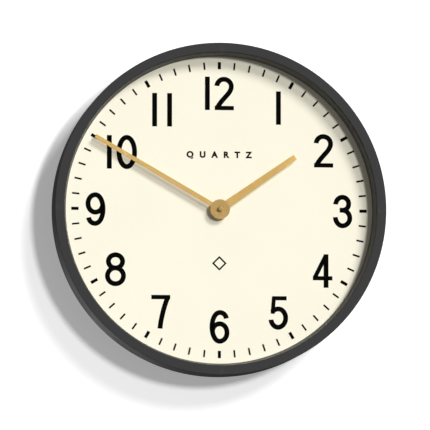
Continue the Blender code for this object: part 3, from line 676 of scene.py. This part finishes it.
def ring_stroke(x, y, across, up, width):
    """A closed oval stroke. The handle reach of 0.5523 makes four curves an ellipse."""
    reach_x, reach_y = 0.5523 * across, 0.5523 * up
    knots = [(x, y + up, 0, reach_x, reach_x), (x + across, y, -90, reach_y, reach_y),
             (x, y - up, 180, reach_x, reach_x), (x - across, y, 90, reach_y, reach_y)]
    return stroke(knots, width, closed=True)


# %% Ten figures
PEN = 6.6
FIGURE_HEIGHT = 45.5
base_line, top_line = PEN / 2, FIGURE_HEIGHT - PEN / 2
six = [(22.9, 34.2, 103, 4, 4.4), (13.9, top_line, 180, 5.6, 6.3), (3.3, 22.6, -90, 10.5, 10.5),
       (13.6, base_line, 0, 6.0, 5.6), (23.7, 15.1, 90, 6.4, 6.4), (13.9, 26.9, 180, 5.6, 5.8),
       (3.9, 16.4, -92, 6, 3)]
figure_strokes = {
    "0": (27.8, [ring_stroke(13.9, FIGURE_HEIGHT / 2, 13.9 - PEN / 2, 23.2 - PEN / 2, PEN)]),
    "1": (PEN, [stroke([(PEN / 2, 0), (PEN / 2, FIGURE_HEIGHT)], PEN)]),
    "2": (26.7, [
        stroke([(3.5, 33.0, 84, 4, 5), (13.2, top_line, 0, 5.4, 5.4), (23.2, 32.4, -90, 5.4, 5.6),
                (15.0, 17.8, -132, 5.6, 5.2), (4.2, 3.0, -112, 5.6, 2)], PEN),
        stroke([(0.6, 2.9), (26.7, 2.9)], 5.8)]),
    "3": (26.2, [
        stroke([(3.7, 32.4, 86, 3, 5.2), (12.7, top_line, 0, 4.8, 4.9), (21.5, 33.4, -90, 4.9, 4.9),
                (13.4, 24.5, 180, 4.6, 1.5), (9.2, 24.5, 180, 1, 1)], PEN),
        stroke([(9.2, 24.5, 0, 1, 1), (13.0, 24.5, 0, 1.5, 5.6), (23.0, 13.8, -90, 5.9, 5.9),
                (12.9, base_line, 180, 5.5, 5.2), (3.2, 15.0, 94, 6.2, 3)], PEN)]),
    "4": (28.0, [
        stroke([(18.2, 0), (18.2, FIGURE_HEIGHT)], PEN),
        stroke([(18.0, 44.0), (2.8, 13.6)], 5.8),
        stroke([(0.2, 12.9), (26.9, 12.9)], 5.6)]),
    "5": (26.4, [
        stroke([(5.2, 42.7), (24.6, 42.7)], 5.6),
        stroke([(7.4, 44.9), (5.5, 21.6)], 5.4),
        stroke([(4.6, 23.6, 44, 2, 3.6), (13.4, 28.2, 0, 4.6, 5.6), (23.3, 15.8, -90, 6.7, 6.7),
                (12.9, base_line, 180, 5.6, 5.2), (3.3, 13.6, 96, 5.4, 3)], PEN)]),
    "6": (27.0, [stroke(six, PEN)]),
    "7": (25.8, [
        stroke([(0, 42.6), (25.6, 42.6)], 5.8),
        stroke([(22.6, 42.9, -116, 3, 9.5), (11.8, 0.0, -94, 13, 3)], 6.6)]),
    "8": (28.0, [
        ring_stroke(14.0, 33.45, 9.6, 8.9, PEN),
        ring_stroke(14.0, 13.85, 10.85, 10.7, PEN)]),
    "9": (27.0, [stroke([(27.0 - x, FIGURE_HEIGHT - y, heading + 180, back, ahead)
                         for x, y, heading, back, ahead in six], PEN)]),
}
figures = {}
for figure, (width, strokes) in figure_strokes.items():
    shape = strokes[0]
    for extra in strokes[1:]:
        combine(shape, extra, "UNION")
    figures[figure] = (shape, width)
    print(f"figure {figure}: {width:.1f} mm wide, {len(shape.data.polygons)} faces")

# %% [markdown]
# The figures stand upright round the dial, each centred where its hour falls on a ring of about 160 mm,
# with the two-figure hours nudged so that they look centred. Their gaps follow the widths of the strokes.

# %% Hour figures
hour_places = {
    12: [("1", -16.35, 158.4), ("2", 6.45, 158.4)], 1: [("1", 80.7, 139.4)], 2: [("2", 142.1, 81.8)],
    3: [("3", 168.2, -0.7)], 4: [("4", 141.3, -81.9)], 5: [("5", 80.2, -139.4)], 6: [("6", 0.2, -158.9)],
    7: [("7", -79.5, -139.0)], 8: [("8", -141.1, -82.0)], 9: [("9", -168.3, -0.7)],
    10: [("1", -149.7, 77.2), ("0", -126.0, 77.2)], 11: [("1", -88.2, 135.3), ("1", -67.8, 135.3)]}
for hour, digits in hour_places.items():
    made = []
    for figure, x, y in digits:
        shape, width = figures[figure]
        made.append(copy_to(shape, f"figure_{hour}_{figure}_{len(made)}", x - width / 2, y - FIGURE_HEIGHT / 2))
    numeral = join(made, f"hour_figure_{hour:02d}")
    numeral.location.z = dial_front * MM
    settle(numeral)
    hang(numeral, "case", "dial_cream", print_black)
for shape, width in figures.values():
    bpy.data.objects.remove(shape)

# %% [markdown]
# ## The small print
# Above the middle there is a plain word for the kind of movement, in small spaced capitals, and a small
# diamond below it. Both are generic and stand for no maker. The word starts as text and is made a mesh
# before it takes its place.

# %% Word and diamond
word_height, word_rise = 10.6, 74.5
deselect()
bpy.ops.object.text_add()
word = bpy.context.object
word.name = "movement_word"
word.data.body = "QUARTZ"
word.data.align_x, word.data.align_y = "CENTER", "CENTER"
word.data.space_character = 2.5
word.data.extrude = 0.01
word.data.offset = 0.052
bpy.ops.object.convert(target="MESH")
natural = word_height * MM / word.dimensions.y
word.scale = (natural, natural, INK * MM / 0.01)
print(f"the word is {word.dimensions.x * natural / MM:.1f} mm wide")
settle(word)
middle_x = (max(v.co.x for v in word.data.vertices) + min(v.co.x for v in word.data.vertices)) / 2
word.location = (-middle_x, word_rise * MM, dial_front * MM)
settle(word)
hang(word, "case", "dial_cream", print_black)

diamond = block("dial_diamond", (-7.0, -79.7, dial_front - INK), (7.0, -65.7, dial_front + INK), turn=45)
inner = block("diamond_hollow", (-4.9, -77.6, dial_front - 1), (4.9, -67.8, dial_front + 1), turn=45)
combine(diamond, inner)
hang(diamond, "case", "dial_cream", print_black)

# %% [markdown]
# ## The hands
# Each hand is stamped from sheet aluminium: a bar that narrows towards its tip, on a round boss. A bar is a
# block whose far end is narrowed, welded to the boss, then the boss is bored for its shaft. The edges
# are rounded a little, as a stamping's are, and the hand is turned to its hour last.

# %% Hands
def narrow_tip(piece, share):
    """Scales the far end of a bar to a share of its width."""
    pick(piece)
    far = max(vertex.co.y for vertex in piece.data.vertices)
    bpy.ops.object.mode_set(mode="EDIT")
    bpy.ops.mesh.select_all(action="DESELECT")
    bpy.ops.object.mode_set(mode="OBJECT")
    for vertex in piece.data.vertices:
        vertex.select = far - vertex.co.y < 1e-5
    bpy.ops.object.mode_set(mode="EDIT")
    bpy.ops.transform.resize(value=(share, 1, 1), center_override=(0, far, 0))
    bpy.ops.object.mode_set(mode="OBJECT")


BOSS_RADIUS = 13.4


def make_hand(name, node, length, width, tip_width, bore, angle, finish, body):
    """A hand as stamped, with its boss a hair proud of the bar."""
    back, face = depth_of(node)
    hand = block(name, (-width / 2, 4, back + 0.05), (width / 2, length, face - 0.05))
    narrow_tip(hand, tip_width / width)
    combine(hand, peg("boss", BOSS_RADIUS, back, face, sides=96), "UNION")
    combine(hand, peg("bore", bore, back - 1, face + 1, sides=48))
    round_edges(hand, 0.12, 2, 50)
    hand.rotation_euler.z = math.radians(-angle)
    settle(hand)
    hang(hand, body, "hand_gold", finish, node)
    hand.data.materials.append(boss_gold)
    for face in hand.data.polygons:
        across, up = face.center.x / MM, (face.center.z - axis_height) / MM
        if math.hypot(across, up) < BOSS_RADIUS + 0.05 and face.normal.y < -0.2:
            reach = across * math.sin(math.radians(angle)) + up * math.cos(math.radians(angle))
            face.material_index = 1 if reach < BOSS_RADIUS + 0.1 else 0


make_hand("hour_hand_bar", "hour_hand", 125.6, 10.9, 7.7, 2.2, hour_angle, hour_gold, "hour")
make_hand("minute_hand_bar", "minute_hand", 195.5, 6.4, 5.4, 1.5, minute_angle, minute_gold, "minute")

# %% [markdown]
# The hands are held by a small closed nut. It is turned with a domed top, a knurled side to grip and a
# hollow for the end of the shaft, whose flutes are cut by a row of thin pegs.

# %% Hand nut
nut_back, nut_front = depth_of("hand_nut")
hand_nut = lathe("hand_nut_cap", [
    (1.85, nut_back), (3.3, nut_back), (3.5, nut_back + 0.2), (3.5, nut_back + 1.5), (3.2, nut_back + 1.9),
    (2.6, nut_front - 0.35), (1.6, nut_front - 0.08), (0.6, nut_front), (0.3, nut_front), (0.3, nut_front - 0.6),
    (1.85, nut_front - 1.5)], sides=72)
flute(hand_nut, 0.16, 3.56, nut_back - 1, nut_back + 1.5)
hang(hand_nut, "minute", "hand_gold", boss_gold, "hand_nut")

# %% [markdown]
# ## The fixing nut, washers and bushing
# The movement hangs from its threaded bushing, which comes through the dial and is held by a brass
# washer and a six-sided nut. They are seen only from the side of the hands, so the nut gets its turned
# chamfer and the bushing its thread grooves.

# %% Nut, washer, bushing
washer_back, washer_front = depth_of("brass_washer")
washer = lathe("brass_washer_disc", [
    (4.2, washer_back), (8.0, washer_back), (8.0, washer_front), (4.2, washer_front)], sides=96)
round_edges(washer, 0.12, 2, 50)
hang(washer, "case", "brass", brass, "brass_washer")

hex_back, hex_front = depth_of("hex_nut")
fixing_nut = peg("fixing_nut", 6.9, hex_back, hex_front, sides=6)
chamfer = lathe("chamfer", [
    (9, hex_back - 1), (6.1, hex_back - 0.01), (6.95, hex_back + 0.5), (6.95, hex_front - 0.5),
    (6.1, hex_front + 0.01), (9, hex_front + 1)], sides=96)
combine(fixing_nut, chamfer)
combine(fixing_nut, peg("bore", 4.05, hex_back - 1, hex_front + 1))
round_edges(fixing_nut, 0.08, 2, 35)
hang(fixing_nut, "case", "brass", brass, "hex_nut")

bush_back, bush_front = depth_of("mounting_bushing")
profile = [(2.9, bush_back), (6.0, bush_back), (6.0, bush_back + 2.0), (3.9, bush_back + 2.1)]
height = bush_back + 3.2
while height < bush_front - 0.6:
    profile += [(3.9, height), (3.55, height + 0.3), (3.9, height + 0.6)]
    height += 0.75
profile += [(3.6, bush_front), (2.9, bush_front)]
bushing = lathe("threaded_bushing", profile, sides=64)
hang(bushing, "case", "brass", brass, "mounting_bushing")

# %% [markdown]
# ## The back panel
# A pressed steel disc closes the drum. Two ring beads keep the thin sheet from drumming, the rim is
# turned towards the wall for stiffness, and a square opening with round corners gives room for fingers
# at the battery and the setting knob.

# %% Back panel
panel_back, panel_front = depth_of("back_panel")
panel_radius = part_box("back_panel")[1].x / MM
SHEET = 1.0
beads = [(71, 0), (72.5, 0.8), (79.5, 0.8), (81, 0), (147, 0), (148.5, 0.8), (155.5, 0.8), (157, 0)]
inner_face = [(radius, panel_front - depth) for radius, depth in beads]
outer_face = [(radius, height - SHEET) for radius, height in reversed(inner_face)]
panel = lathe("back_panel_disc", [
    (0, panel_front), *inner_face, (panel_radius - 0.7, panel_front), (panel_radius, panel_front - 0.7),
    (panel_radius, panel_back), (panel_radius - SHEET, panel_back), (panel_radius - SHEET, panel_front - 1.5),
    (panel_radius - SHEET - 0.5, panel_front - SHEET), *outer_face, (0, panel_front - SHEET)], sides=192)
combine(panel, block("opening", (-36, -36, panel_front - 3), (36, 36, panel_front + 2), corner=5))
SCREW_CIRCLE = 214.0
screw_spots = [(SCREW_CIRCLE * math.cos(math.radians(way)), SCREW_CIRCLE * math.sin(math.radians(way)))
               for way in (45, 135, 225, 315)]
for spot in screw_spots:
    combine(panel, peg("screw_hole", 1.8, panel_front - 3, panel_front + 2, spot, 24))
round_edges(panel, 0.2, 2, 50)
hang(panel, "case", "case_paint", back_paint, "back_panel")

# %% [markdown]
# A moulded edging is pushed over the raw edge of the opening, so that it doesn't cut a finger. It is
# a square ring with a slot all round its outside for the sheet, so it is built from two frames.

# %% Opening edge trim
trim = block("opening_trim", (-36.9, -36.9, panel_front - SHEET - 0.7), (36.9, 36.9, panel_front - SHEET), corner=6)
combine(trim, block("trim_hole", (-34.9, -34.9, panel_front - 4), (34.9, 34.9, panel_front + 2), corner=4.5))
lip = block("trim_lip", (-35.95, -35.95, panel_front - SHEET - 0.2), (35.95, 35.95, panel_front), corner=5)
combine(lip, block("lip_hole", (-34.9, -34.9, panel_front - 4), (34.9, 34.9, panel_front + 2), corner=4.5))
combine(trim, lip, "UNION")
round_edges(trim, 0.25, 2, 50)
hang(trim, "case", "black_plastic", black_plastic)

# %% [markdown]
# ## The hanger
# The clock hangs on one screw. Its head goes in at the large hole and rides up the slot as the clock is
# let down. The plate is bent like a hat so that the head has room behind it, and two rivets hold its feet.

# %% Hanger plate
def bent_strip(name, bends, low_y, high_y, thickness):
    """A sheet strip: one point is pulled along the (x, z) bends, the line is pulled wide and thickened."""
    deselect()
    bpy.ops.mesh.primitive_plane_add(size=MM)
    strip = bpy.context.object
    strip.name = name
    bpy.ops.object.mode_set(mode="EDIT")
    bpy.ops.mesh.select_mode(type="VERT")
    bpy.ops.mesh.merge(type="CENTER")
    x, z = bends[0]
    bpy.ops.transform.translate(value=(x * MM, low_y * MM, z * MM))
    for next_x, next_z in bends[1:]:
        step = ((next_x - x) * MM, 0, (next_z - z) * MM)
        bpy.ops.mesh.extrude_vertices_move(TRANSFORM_OT_translate={"value": step})
        x, z = next_x, next_z
    bpy.ops.mesh.select_all(action="SELECT")
    bpy.ops.mesh.extrude_edges_move(TRANSFORM_OT_translate={"value": (0, (high_y - low_y) * MM, 0)})
    bpy.ops.mesh.select_all(action="SELECT")
    bpy.ops.mesh.normals_make_consistent(inside=False)
    bpy.ops.object.mode_set(mode="OBJECT")
    modify(strip, "sheet", "SOLIDIFY", thickness=thickness * MM, offset=0, use_even_offset=True)
    clean(strip)
    return strip


hanger_low, hanger_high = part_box("hanger_plate")
hang_back, hang_seat = depth_of("hanger_plate")
low_edge, high_edge = ((edge.z - axis_height) / MM for edge in (hanger_low, hanger_high))
PLATE, HAT_HALF, FOOT_END = 1.2, 20.6, 31.0
top_middle, foot_middle = hang_back + PLATE / 2, hang_seat - PLATE / 2
hanger = bent_strip("hanger_bracket", [
    (-FOOT_END, foot_middle), (-HAT_HALF, foot_middle), (-HAT_HALF, top_middle), (HAT_HALF, top_middle),
    (HAT_HALF, foot_middle), (FOOT_END, foot_middle)], low_edge, high_edge, PLATE)
round_edges(hanger, 0.3, 3, 40)
screw_rest = -axis_height / MM
keyhole = peg("keyhole", 5.0, hang_back - 2, hang_back + 2.1, (0, screw_rest - 10), 64)
combine(keyhole, block("slot", (-2.3, screw_rest - 10, hang_back - 2.2), (2.3, screw_rest, hang_back + 2.3)), "UNION")
combine(keyhole, peg("slot_end", 2.3, hang_back - 2.4, hang_back + 2.5, (0, screw_rest), 32), "UNION")
combine(hanger, keyhole)
hang(hanger, "case", "zinc_steel", zinc_steel, "hanger_plate")

# %% Rivets
rivet_back, rivet_front = depth_of("hanger_rivet_1")
rivet = lathe("rivet", [
    (0, rivet_back), (1.2, rivet_back + 0.08), (2.2, rivet_back + 0.5), (2.8, rivet_back + 1.1),
    (3.0, rivet_back + 1.6), (1.6, rivet_back + 1.65), (1.6, rivet_front - 0.9), (2.2, rivet_front - 0.8),
    (2.2, rivet_front - 0.3), (1.6, rivet_front), (0, rivet_front)], sides=48)
for number, side in ((1, -1), (2, 1)):
    head = copy_to(rivet, f"hanger_rivet_head_{number}", side * 26, screw_rest - 5)
    hang(head, "case", "zinc_steel", zinc_steel, f"hanger_rivet_{number}")
bpy.data.objects.remove(rivet)

# %% [markdown]
# ## Screws and bumpers
# Four pan-head screws hold the panel to the lugs in the drum. Each head is a low dome with a cross cut
# into it by two thin blocks. Two rubber bumpers keep the lower edge off the wall, and their faces have a
# shallow ring groove that grips.

# %% Back screws
screw_back, screw_front = depth_of("back_screw_1")
screw_profile = [(0, screw_back), (1.3, screw_back + 0.06), (2.2, screw_back + 0.4), (2.75, screw_back + 1.0),
                 (2.95, screw_back + 2.0), (1.5, screw_back + 2.0)]
height = screw_back + 3.0
while height < screw_front - 1.2:
    screw_profile += [(1.5, height), (1.25, height + 0.25), (1.5, height + 0.5)]
    height += 0.7
screw_profile += [(1.0, screw_front - 0.5), (0, screw_front)]
screw = lathe("screw", screw_profile, sides=40)
for turn in (45, 135):
    combine(screw, block("cross", (-1.7, -0.33, screw_back - 1), (1.7, 0.33, screw_back + 1.3), turn=turn))
for number, spot in enumerate(screw_spots, 1):
    driven = copy_to(screw, f"panel_screw_{number}", *spot)
    hang(driven, "case", "zinc_steel", zinc_steel, f"back_screw_{number}")
bpy.data.objects.remove(screw)

# %% Wall bumpers
bumper_back, bumper_front = depth_of("wall_bumper_1")
bumper = lathe("bumper", [
    (0, bumper_back + 0.35), (2.0, bumper_back + 0.35), (2.3, bumper_back), (3.3, bumper_back),
    (3.6, bumper_back + 0.35), (4.0, bumper_back + 0.35), (4.3, bumper_back), (5.0, bumper_back),
    (5.5, bumper_back + 0.5), (5.7, bumper_back + 2.6), (5.4, bumper_back + 3.0), (5.8, bumper_back + 3.4),
    (6.5, bumper_front - 0.8), (6.5, bumper_front), (0, bumper_front)], sides=64)
for number, way in ((1, 240), (2, 300)):
    x, y = 195 * math.cos(math.radians(way)), 195 * math.sin(math.radians(way))
    foot = copy_to(bumper, f"rubber_bumper_{number}", x, y)
    hang(foot, "case", "black_rubber", black_rubber, f"wall_bumper_{number}")
bpy.data.objects.remove(bumper)

# %% [markdown]
# ## The movement's rear shell
# The rear shell is a moulded box with rounded corners. Its battery bay is a tub that reaches past the
# wheels, so one block is welded on for the tub, then the bay and the wheels' room are cut out. Small
# mouldings go on its face: a ring round the knob, the bay's plus and minus, and pins in the corners.

# %% Rear shell
shell_back, shell_front_face = depth_of("shell_rear")
SPLIT, FLOOR = 23.7, 1.2
bay_low, bay_high, bay_end = -26.3, -11.7, 26.3
shell = block("movement_rear_shell", (-28, -28, shell_back), (28, 28, SPLIT), corner=3.5)
tub = block("tub", (-27.7, -27.7, SPLIT - 3), (27.7, bay_high + 1.2, shell_front_face), corner=3)
combine(shell, tub, "UNION")
combine(shell, block("bay", (-bay_end, bay_low, shell_back - 2), (bay_end, bay_high, shell_front_face - FLOOR)))
room = block("room", (-26.6, bay_high + 1.2, shell_back + FLOOR), (26.6, 26.6, SPLIT + 1), corner=2)
combine(shell, room)
notch = peg("thumb_notch", 6.5, shell_back - 1, shell_back + 0.8, (0, bay_high - 3.4))
combine(shell, notch)
knob_low, knob_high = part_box("setting_knob")
knob_x = (knob_low.x + knob_high.x) / 2 / MM
knob_y = ((knob_low.z + knob_high.z) / 2 - axis_height) / MM
combine(shell, peg("knob_hole", 2.0, shell_back - 1, shell_back + 2, (knob_x, knob_y)))
round_edges(shell, 0.35, 3, 50)
hang(shell, "case", "black_plastic", black_plastic, "shell_rear")

# %% Mouldings on the shell
RAISED = 0.35
top = shell_back - RAISED
collar = lathe("knob_collar", [
    (6.7, shell_back + 0.3), (6.7, top), (7.5, top), (7.5, shell_back + 0.3)],
    sides=64, at=(knob_x, knob_y))
seat_ring = lathe("bush_seat", [
    (7.4, shell_back + 0.3), (7.4, top), (8.3, top), (8.3, shell_back + 0.3)], sides=64)
plus = block("plus_mark", (20.5, -6.6, top), (25.5, -5.4, shell_back + 0.3))
combine(plus, block("plus_upright", (22.4, -8.5, top), (23.6, -3.5, shell_back + 0.3)), "UNION")
minus = block("minus_mark", (-25.5, -8.6, top), (-20.5, -7.4, shell_back + 0.3))
pins = []
for x, y in ((-24.3, 24.3), (24.3, 24.3), (24.3, 4.0), (-24.3, 14.0)):
    pins.append(lathe("pin", [
        (0, top + 0.15), (0.9, top + 0.1), (1.2, top), (1.9, top), (2.1, shell_back + 0.3), (0, shell_back + 0.3)],
        sides=32, at=(x, y)))
ribs = [block("rib", (-14, 12 + 4 * row, top), (14, 12.9 + 4 * row, shell_back + 0.3)) for row in range(3)]
mouldings = join([collar, seat_ring, plus, minus, *pins, *ribs], "shell_mouldings")
round_edges(mouldings, 0.12, 2, 40)
hang(mouldings, "case", "black_plastic", black_plastic)

# %% [markdown]
# ## The battery
# One AA cell drives the movement. It is a drawn steel can in a printed sleeve, with a raised contact at
# the plus end. The can is turned upright, then laid along the bay. The sleeve is plain, with one band.

# %% Battery sleeve finish
def sleeve_band(tree):
    """A mask that is 1 at the plus end of the cell and 0 elsewhere."""
    split = add(tree, "SeparateXYZ", {0: own_place(tree)})
    return add(tree, "Math", {0: split.outputs["X"], 1: 13 * MM}, operation="GREATER_THAN").outputs[0]


sleeve = finish_of("battery sleeve", (0.018, 0.03, 0.05), (0.55, 0.22, 0.05), (0.2, 0.3), grain=0.4, cloud=9,
                   depth=0.006, dust=0.1, wear=0.4, pattern=sleeve_band, coat=0.4)

# %% Battery cell
cell_low, cell_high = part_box("battery_cell")
half_length = cell_high.x / MM
cell_radius = (cell_high.z - cell_low.z) / 2 / MM
cell_y = ((cell_high.z + cell_low.z) / 2 - axis_height) / MM
cell_z = -(cell_high.y + cell_low.y) / 2 / MM
cell = lathe("aa_cell", [
    (0, -half_length), (4.6, -half_length), (4.9, 0.35 - half_length), (6.4, 0.35 - half_length),
    (cell_radius, 0.9 - half_length), (cell_radius, half_length - 2.1), (6.6, half_length - 1.6),
    (5.3, half_length - 1.6), (5.0, half_length - 1.9), (2.9, half_length - 1.8), (2.7, half_length - 1.5),
    (2.7, half_length - 0.3), (2.4, half_length), (0, half_length)], sides=96)
cell.rotation_euler = (0, math.radians(90), 0)
cell.location = (0, cell_y * MM, cell_z * MM)
settle(cell)
hang(cell, "battery", "battery_sleeve", sleeve, "battery_cell")
cell.data.materials.append(zinc_steel)
for face in cell.data.polygons:
    across = math.hypot(face.center.y + cell_z * MM, face.center.z - axis_height - cell_y * MM) / MM
    face.material_index = 1 if across < 6.3 else 0

# %% [markdown]
# ## The setting knob
# The knob stands out of the shell's back and turns the hands through a small wheel inside. It is turned
# with a dished face, and its side is fluted by a row of pegs, so that one finger can roll it.

# %% Setting knob
knob_back, knob_front = depth_of("setting_knob")
knob_face = knob_back + 3.2
knob = lathe("hand_setting_knob", [
    (0, knob_back + 0.5), (2.6, knob_back + 0.35), (4.2, knob_back), (4.9, knob_back + 0.1),
    (5.25, knob_back + 0.5), (5.25, knob_face - 0.4), (5.0, knob_face), (1.5, knob_face),
    (1.5, knob_front - 1.05), (4.4, knob_front - 1.0), (4.4, knob_front), (0, knob_front)], sides=96)
flute(knob, 0.3, 5.4, knob_back - 1, knob_front + 1, sides=12)
knob.location = (knob_x * MM, knob_y * MM, 0)
settle(knob)
hang(knob, "knob", "knob_plastic", knob_plastic, "setting_knob")

# %% [markdown]
# ## Finishes for the parts that stay as packed
# The wheels, the coil and the other small parts inside keep their CAD shape, since their teeth are
# already cut. Each takes the finish of its material slot in the record.

# %% Finishes for CAD parts
finish_for_slot = {
    "black_rubber": black_rubber, "white_spacer": white_spacer, "zinc_steel": zinc_steel,
    "black_plastic": black_plastic, "brass": brass, "white_gear_plastic": white_gear_plastic,
    "rotor_magnet": rotor_magnet, "copper_wire": copper_wire, "soft_iron": soft_iron,
    "circuit_board": circuit_green}
slot_of_node = {entry["node"]: entry["material_slot"] for entry in frame["record"]["subparts"]}
kept = [name for name, node in frame["nodes"].items() if not node.hide_render]
for name in kept:
    for material_slot in frame["nodes"][name].material_slots:
        material_slot.material = finish_for_slot[slot_of_node[name]]
print("parts kept as packed:", ", ".join(sorted(kept)))

# %% [markdown]
# ## The room
# The clock hangs on a plain white wall over a pale floor. The wall shows only from its front, so that
# the back of the clock can be looked at too. Both show only to the camera, so that neither of them
# throws light back into the clock's shaded edges.

# %% Wall and floor
def plain_surface(name, low, high):
    """A pale matt surface with the faintest unevenness."""
    material, tree, surface = new_material(name)
    texture = add(tree, "Group", node_tree=grain_group)
    texture.inputs["Cloud mm"].default_value = 900
    tree.links.new(blend_colours(tree, texture.outputs["Cloud"], low, high), surface.inputs["Base Color"])
    surface.inputs["Roughness"].default_value = 0.95
    surface.inputs["Specular IOR Level"].default_value = 0.0
    return material, tree, surface


def for_the_camera_only(tree, surface, front_only):
    """Shows a surface to camera rays alone, so that it throws no light back on the clock."""
    shown = add(tree, "LightPath").outputs["Is Camera Ray"]
    if front_only:
        front = add(tree, "Math", {0: 1.0, 1: add(tree, "NewGeometry").outputs["Backfacing"]}, operation="SUBTRACT")
        shown = times(tree, shown, front.outputs[0])
    show_when(tree, shown, add(tree, "BsdfTransparent").outputs[0], surface.outputs[0])


wall_paint, tree, surface = plain_surface("wall paint", (0.945, 0.945, 0.945, 1), (0.955, 0.955, 0.955, 1))
surface.inputs["Emission Color"].default_value = (1, 1, 1, 1)
surface.inputs["Emission Strength"].default_value = 0.27
for_the_camera_only(tree, surface, True)
deselect()
bpy.ops.mesh.primitive_plane_add(size=9, location=(0, 0.0004, 0.4), rotation=(math.radians(90), 0, 0))
wall = bpy.context.object
wall.name = "wall"
wall.data.materials.append(wall_paint)

floor_paint, tree, surface = plain_surface("floor paint", (0.80, 0.80, 0.79, 1), (0.84, 0.84, 0.83, 1))
surface.inputs["Emission Color"].default_value = (1, 1, 0.99, 1)
surface.inputs["Emission Strength"].default_value = 0.3
for_the_camera_only(tree, surface, False)
bpy.ops.mesh.primitive_plane_add(size=30, location=(0, 0, -1.4))
floor = bpy.context.object
floor.name = "floor"
floor.data.materials.append(floor_paint)

# %% [markdown]
# ## The light
# The room gives an even light from all round. Two soft suns of nearly equal strength stand high on
# the right. The first throws a near shadow down to the left and the second a wider, softer one beyond
# it. A sun's strength is set from how much of the wall's brightness it should give, which also
# depends on how steeply it meets the wall. The wall itself glows a little, so that its shadows stay
# as pale as in a white room, while the deep dial keeps its own.

# %% Room light and suns
from mathutils import Vector

world = bpy.data.worlds.new("room light")
bpy.context.scene.world = world
world.use_nodes = True
tree = world.node_tree
tree.nodes.clear()
seen = add(tree, "Background", {"Color": (1, 1, 1, 1), "Strength": 1.0})
lit = add(tree, "Background", {"Color": (1, 0.995, 0.985, 1), "Strength": 0.15})
choose = add(tree, "MixShader", {0: add(tree, "LightPath").outputs["Is Camera Ray"]})
tree.links.new(lit.outputs[0], choose.inputs[1])
tree.links.new(seen.outputs[0], choose.inputs[2])
sky = add(tree, "OutputWorld")
tree.links.new(choose.outputs[0], sky.inputs["Surface"])


def sun(name, heading, share, spread):
    """A sun that travels along a heading and gives a share of the wall's brightness."""
    lamp = bpy.data.lights.new(name, "SUN")
    holder = bpy.data.objects.new(name, lamp)
    bpy.context.collection.objects.link(holder)
    way = heading.normalized()
    holder.rotation_euler = way.to_track_quat("-Z", "Y").to_euler()
    lamp.energy = share * math.pi / way.y
    lamp.angle = math.radians(spread)
    lamp.cycles.use_multiple_importance_sampling = False
    print(f"{name}: energy {lamp.energy:.2f}")
    return holder


sun("near shadow sun", Vector((-27, 60, -15)), 0.46, 8)
sun("far shadow sun", Vector((-47, 60, -51)), 0.465, 17)

# %% Lights for the back and sides
def panel_light(name, place, energy, size):
    """A square soft light that faces the clock."""
    lamp = bpy.data.lights.new(name, "AREA")
    lamp.energy = energy
    lamp.size = size
    holder = bpy.data.objects.new(name, lamp)
    bpy.context.collection.objects.link(holder)
    holder.location = place
    holder.rotation_euler = (Vector((0, 0, axis_height)) - holder.location).to_track_quat("-Z", "Y").to_euler()


panel_light("side light", Vector((-0.6, 1.9, -0.75)), 4, 0.9)
panel_light("back light right", Vector((0.9, 1.7, 0.4)), 34, 0.7)
panel_light("back light top", Vector((0.1, 1.5, 1.4)), 24, 0.7)

# %% [markdown]
# ## The camera
# A long lens from far off keeps the ring round. It stands a little to the left of the clock and a little
# below it, so that the drum's inner wall shows on the right and at the top.

# %% Camera
camera_data = bpy.data.cameras.new("camera")
camera = bpy.data.objects.new("camera", camera_data)
bpy.context.collection.objects.link(camera)
bpy.context.scene.camera = camera
camera_data.lens = 500
camera_data.sensor_width = 36
camera_data.clip_end = 60
view_width = 0.5803
distance = view_width * camera_data.lens / camera_data.sensor_width
side, lift = math.radians(-6.4), math.radians(-5.1)
back = Vector((math.sin(side) * math.cos(lift), -math.cos(side) * math.cos(lift), math.sin(lift)))
aim_point = Vector((-8.6 * MM, -front * MM, axis_height - 9.3 * MM))
camera.location = aim_point + back * distance
camera.rotation_euler = (-back).to_track_quat("-Z", "Y").to_euler()
bpy.context.scene.view_settings.view_transform = "Standard"
print(f"camera {distance:.2f} m from the front of the drum")
